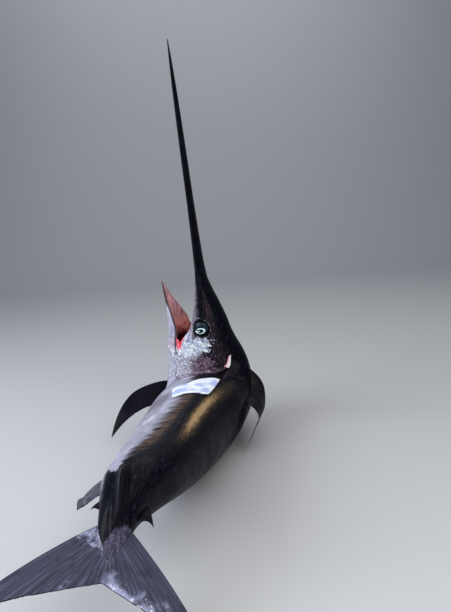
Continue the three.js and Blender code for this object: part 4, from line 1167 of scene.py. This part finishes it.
def build_slip():
    count = SLIP["points"]
    u = np.linspace(0, 1, count)[:, None]
    v = np.linspace(0, 1, count)[None, :]
    ends = {}
    for end in ("front", "rear"):
        (first_s, first_angle), (last_s, last_angle) = SLIP[end]
        bowed = SLIP["bow"][end] * 4 * v * (1 - v)
        ends[end] = (mix(first_s, last_s, v) - bowed, mix(first_angle, last_angle, v))
    s, angle = (mix(front, rear, u) for front, rear in zip(ends["front"], ends["rear"]))
    ripples = 0.6 * np.sin(9 * u + 4 * v) * np.sin(7 * v + 1) + 0.4 * np.sin(15 * v + 3 * u) + 0.9
    curl = 5.0 * smooth(u, 0.82, 1) * smooth(v, 0.25, 0.0) + 3.0 * smooth(u, 0.14, 0) * smooth(v, 0.8, 1)
    points = []
    flat = []
    for thick in (0, SLIP["thick"]):
        back, left = section(s, angle, SLIP["lift"] + ripples + curl + thick)
        points.append(place(s, back, left).reshape(-1, 3))
        flat.append(straight(s, back, left))
    make_piece("slip_sheet", np.vstack(points), sheet_faces(count, count), {"straight": np.vstack(flat)},
               PAPER, ("paper_slip",))


# Camera, light and floor, in metres

FLOOR_FRONT = -9
FLOOR_BACK = 4
FLOOR_HALF = 14
FLOOR_RISE = 9
FLOOR_SUNK = 0.0005
FLOOR_COLOUR = (0.47, 0.48, 0.50, 1)
SWEEP = 3
SWEEP_STEPS = 24
SKY_COLOUR = (0.70, 0.80, 1.0, 1)
SKY_STRENGTH = 0.14
# The lights: place, aim, size, watts and colour.
LIGHTS = {
    "window": ((-2.4, -0.6, 1.7), (0, 0.1, 0.25), (2.4, 2.0), 98, (0.92, 0.96, 1)),
    "front": ((-0.9, -2.6, 2.0), (0, 0, 0.45), (2.4, 2.4), 30, (1, 0.99, 0.97)),
    "fill": ((0.9, -1.3, 1.2), (-0.1, 0.4, 0.4), (1.6, 1.6), 20, (1, 0.97, 0.94)),
    "top": ((0.6, 0.9, 2.8), (0.1, 0.2, 0), (4.4, 4.4), 52, (1, 0.98, 0.95)),
    "backdrop": ((0, 4.6, 4.5), (0, 7, 2.6), (5.0, 0.6), 70, (0.97, 0.98, 1)),
}


def frame_matrix(x, y, z, at):
    """The matrix of an object at a place, with its own axes along x, y and z."""
    return Matrix([[x[i], y[i], z[i], at[i]] for i in range(3)] + [[0, 0, 0, 1]])


def add_camera():
    pitch = math.radians(CAMERA_PITCH)
    roll = math.radians(CAMERA_ROLL)
    forward = np.array([0, math.cos(pitch), -math.sin(pitch)])
    up = np.array([0, math.sin(pitch), math.cos(pitch)])
    right = np.array([1.0, 0, 0])
    across = math.cos(roll) * right + math.sin(roll) * up
    upward = -math.sin(roll) * right + math.cos(roll) * up
    data = bpy.data.cameras.new("camera")
    data.lens = CAMERA_LENS
    data.sensor_width = SENSOR
    data.clip_start = 0.05
    camera = bpy.data.objects.new("camera", data)
    camera.matrix_world = frame_matrix(across, upward, -forward, CAMERA_PLACE)
    bpy.context.scene.collection.objects.link(camera)
    bpy.context.scene.camera = camera


def add_light(name, place_at, aim, size, watts, colour):
    data = bpy.data.lights.new(name, "AREA")
    data.shape = "RECTANGLE"
    data.size, data.size_y = size
    data.energy = watts
    data.color = colour
    light = bpy.data.objects.new(name, data)
    z = np.array(place_at, float) - np.array(aim, float)
    z /= np.linalg.norm(z)
    x = np.cross((0, 0, 1), z)
    x /= np.linalg.norm(x)
    light.matrix_world = frame_matrix(x, np.cross(z, x), z, place_at)
    bpy.context.scene.collection.objects.link(light)


def add_sky():
    world = bpy.data.worlds.new("studio")
    world.use_nodes = True
    background = world.node_tree.nodes["Background"]
    background.inputs["Color"].default_value = SKY_COLOUR
    background.inputs["Strength"].default_value = SKY_STRENGTH
    bpy.context.scene.world = world


def add_floor():
    """A plain pale floor that rises into a backdrop far behind the fish."""
    profile = [(FLOOR_FRONT, 0)]
    for k in range(SWEEP_STEPS + 1):
        turn = k * math.pi / 2 / SWEEP_STEPS
        profile.append((FLOOR_BACK + SWEEP * math.sin(turn), SWEEP - SWEEP * math.cos(turn)))
    profile.append((FLOOR_BACK + SWEEP, FLOOR_RISE))
    points = [(x, y, z) for y, z in profile for x in (-FLOOR_HALF, FLOOR_HALF)]
    faces = grid_faces(len(profile), 2)
    mesh = bpy.data.meshes.new("floor")
    mesh.from_pydata(points, [], [face[::-1] for face in faces])
    mesh.polygons.foreach_set("use_smooth", np.ones(len(mesh.polygons), bool))
    shader = Shader("pale_floor", roughness=0.8, specular=0.1)
    shader.surface.inputs["Base Color"].default_value = FLOOR_COLOUR
    mesh.materials.append(shader.material)
    floor = bpy.data.objects.new("floor", mesh)
    floor.location.z = -FLOOR_SUNK
    bpy.context.scene.collection.objects.link(floor)


bpy.context.scene.view_settings.view_transform = "Standard"
add_camera()
add_sky()
for name, light in LIGHTS.items():
    add_light(name, *light)
add_floor()
build_skin()
build_jaw()
for side in SIDES:
    build_mouth_fold(side, FOLD_FRONTS[side])
    build_eye(side)
    build_gill(side)
    build_lobe(side, seed=20 + side)
for number, (name, fin) in enumerate(MIDDLE_FINS.items()):
    build_middle_fin(name, fin, seed=3 + number)
for number, (name, fin) in enumerate(BREAST_FINS.items()):
    build_breast_fin(name, fin, seed=11 + number)
build_slip()
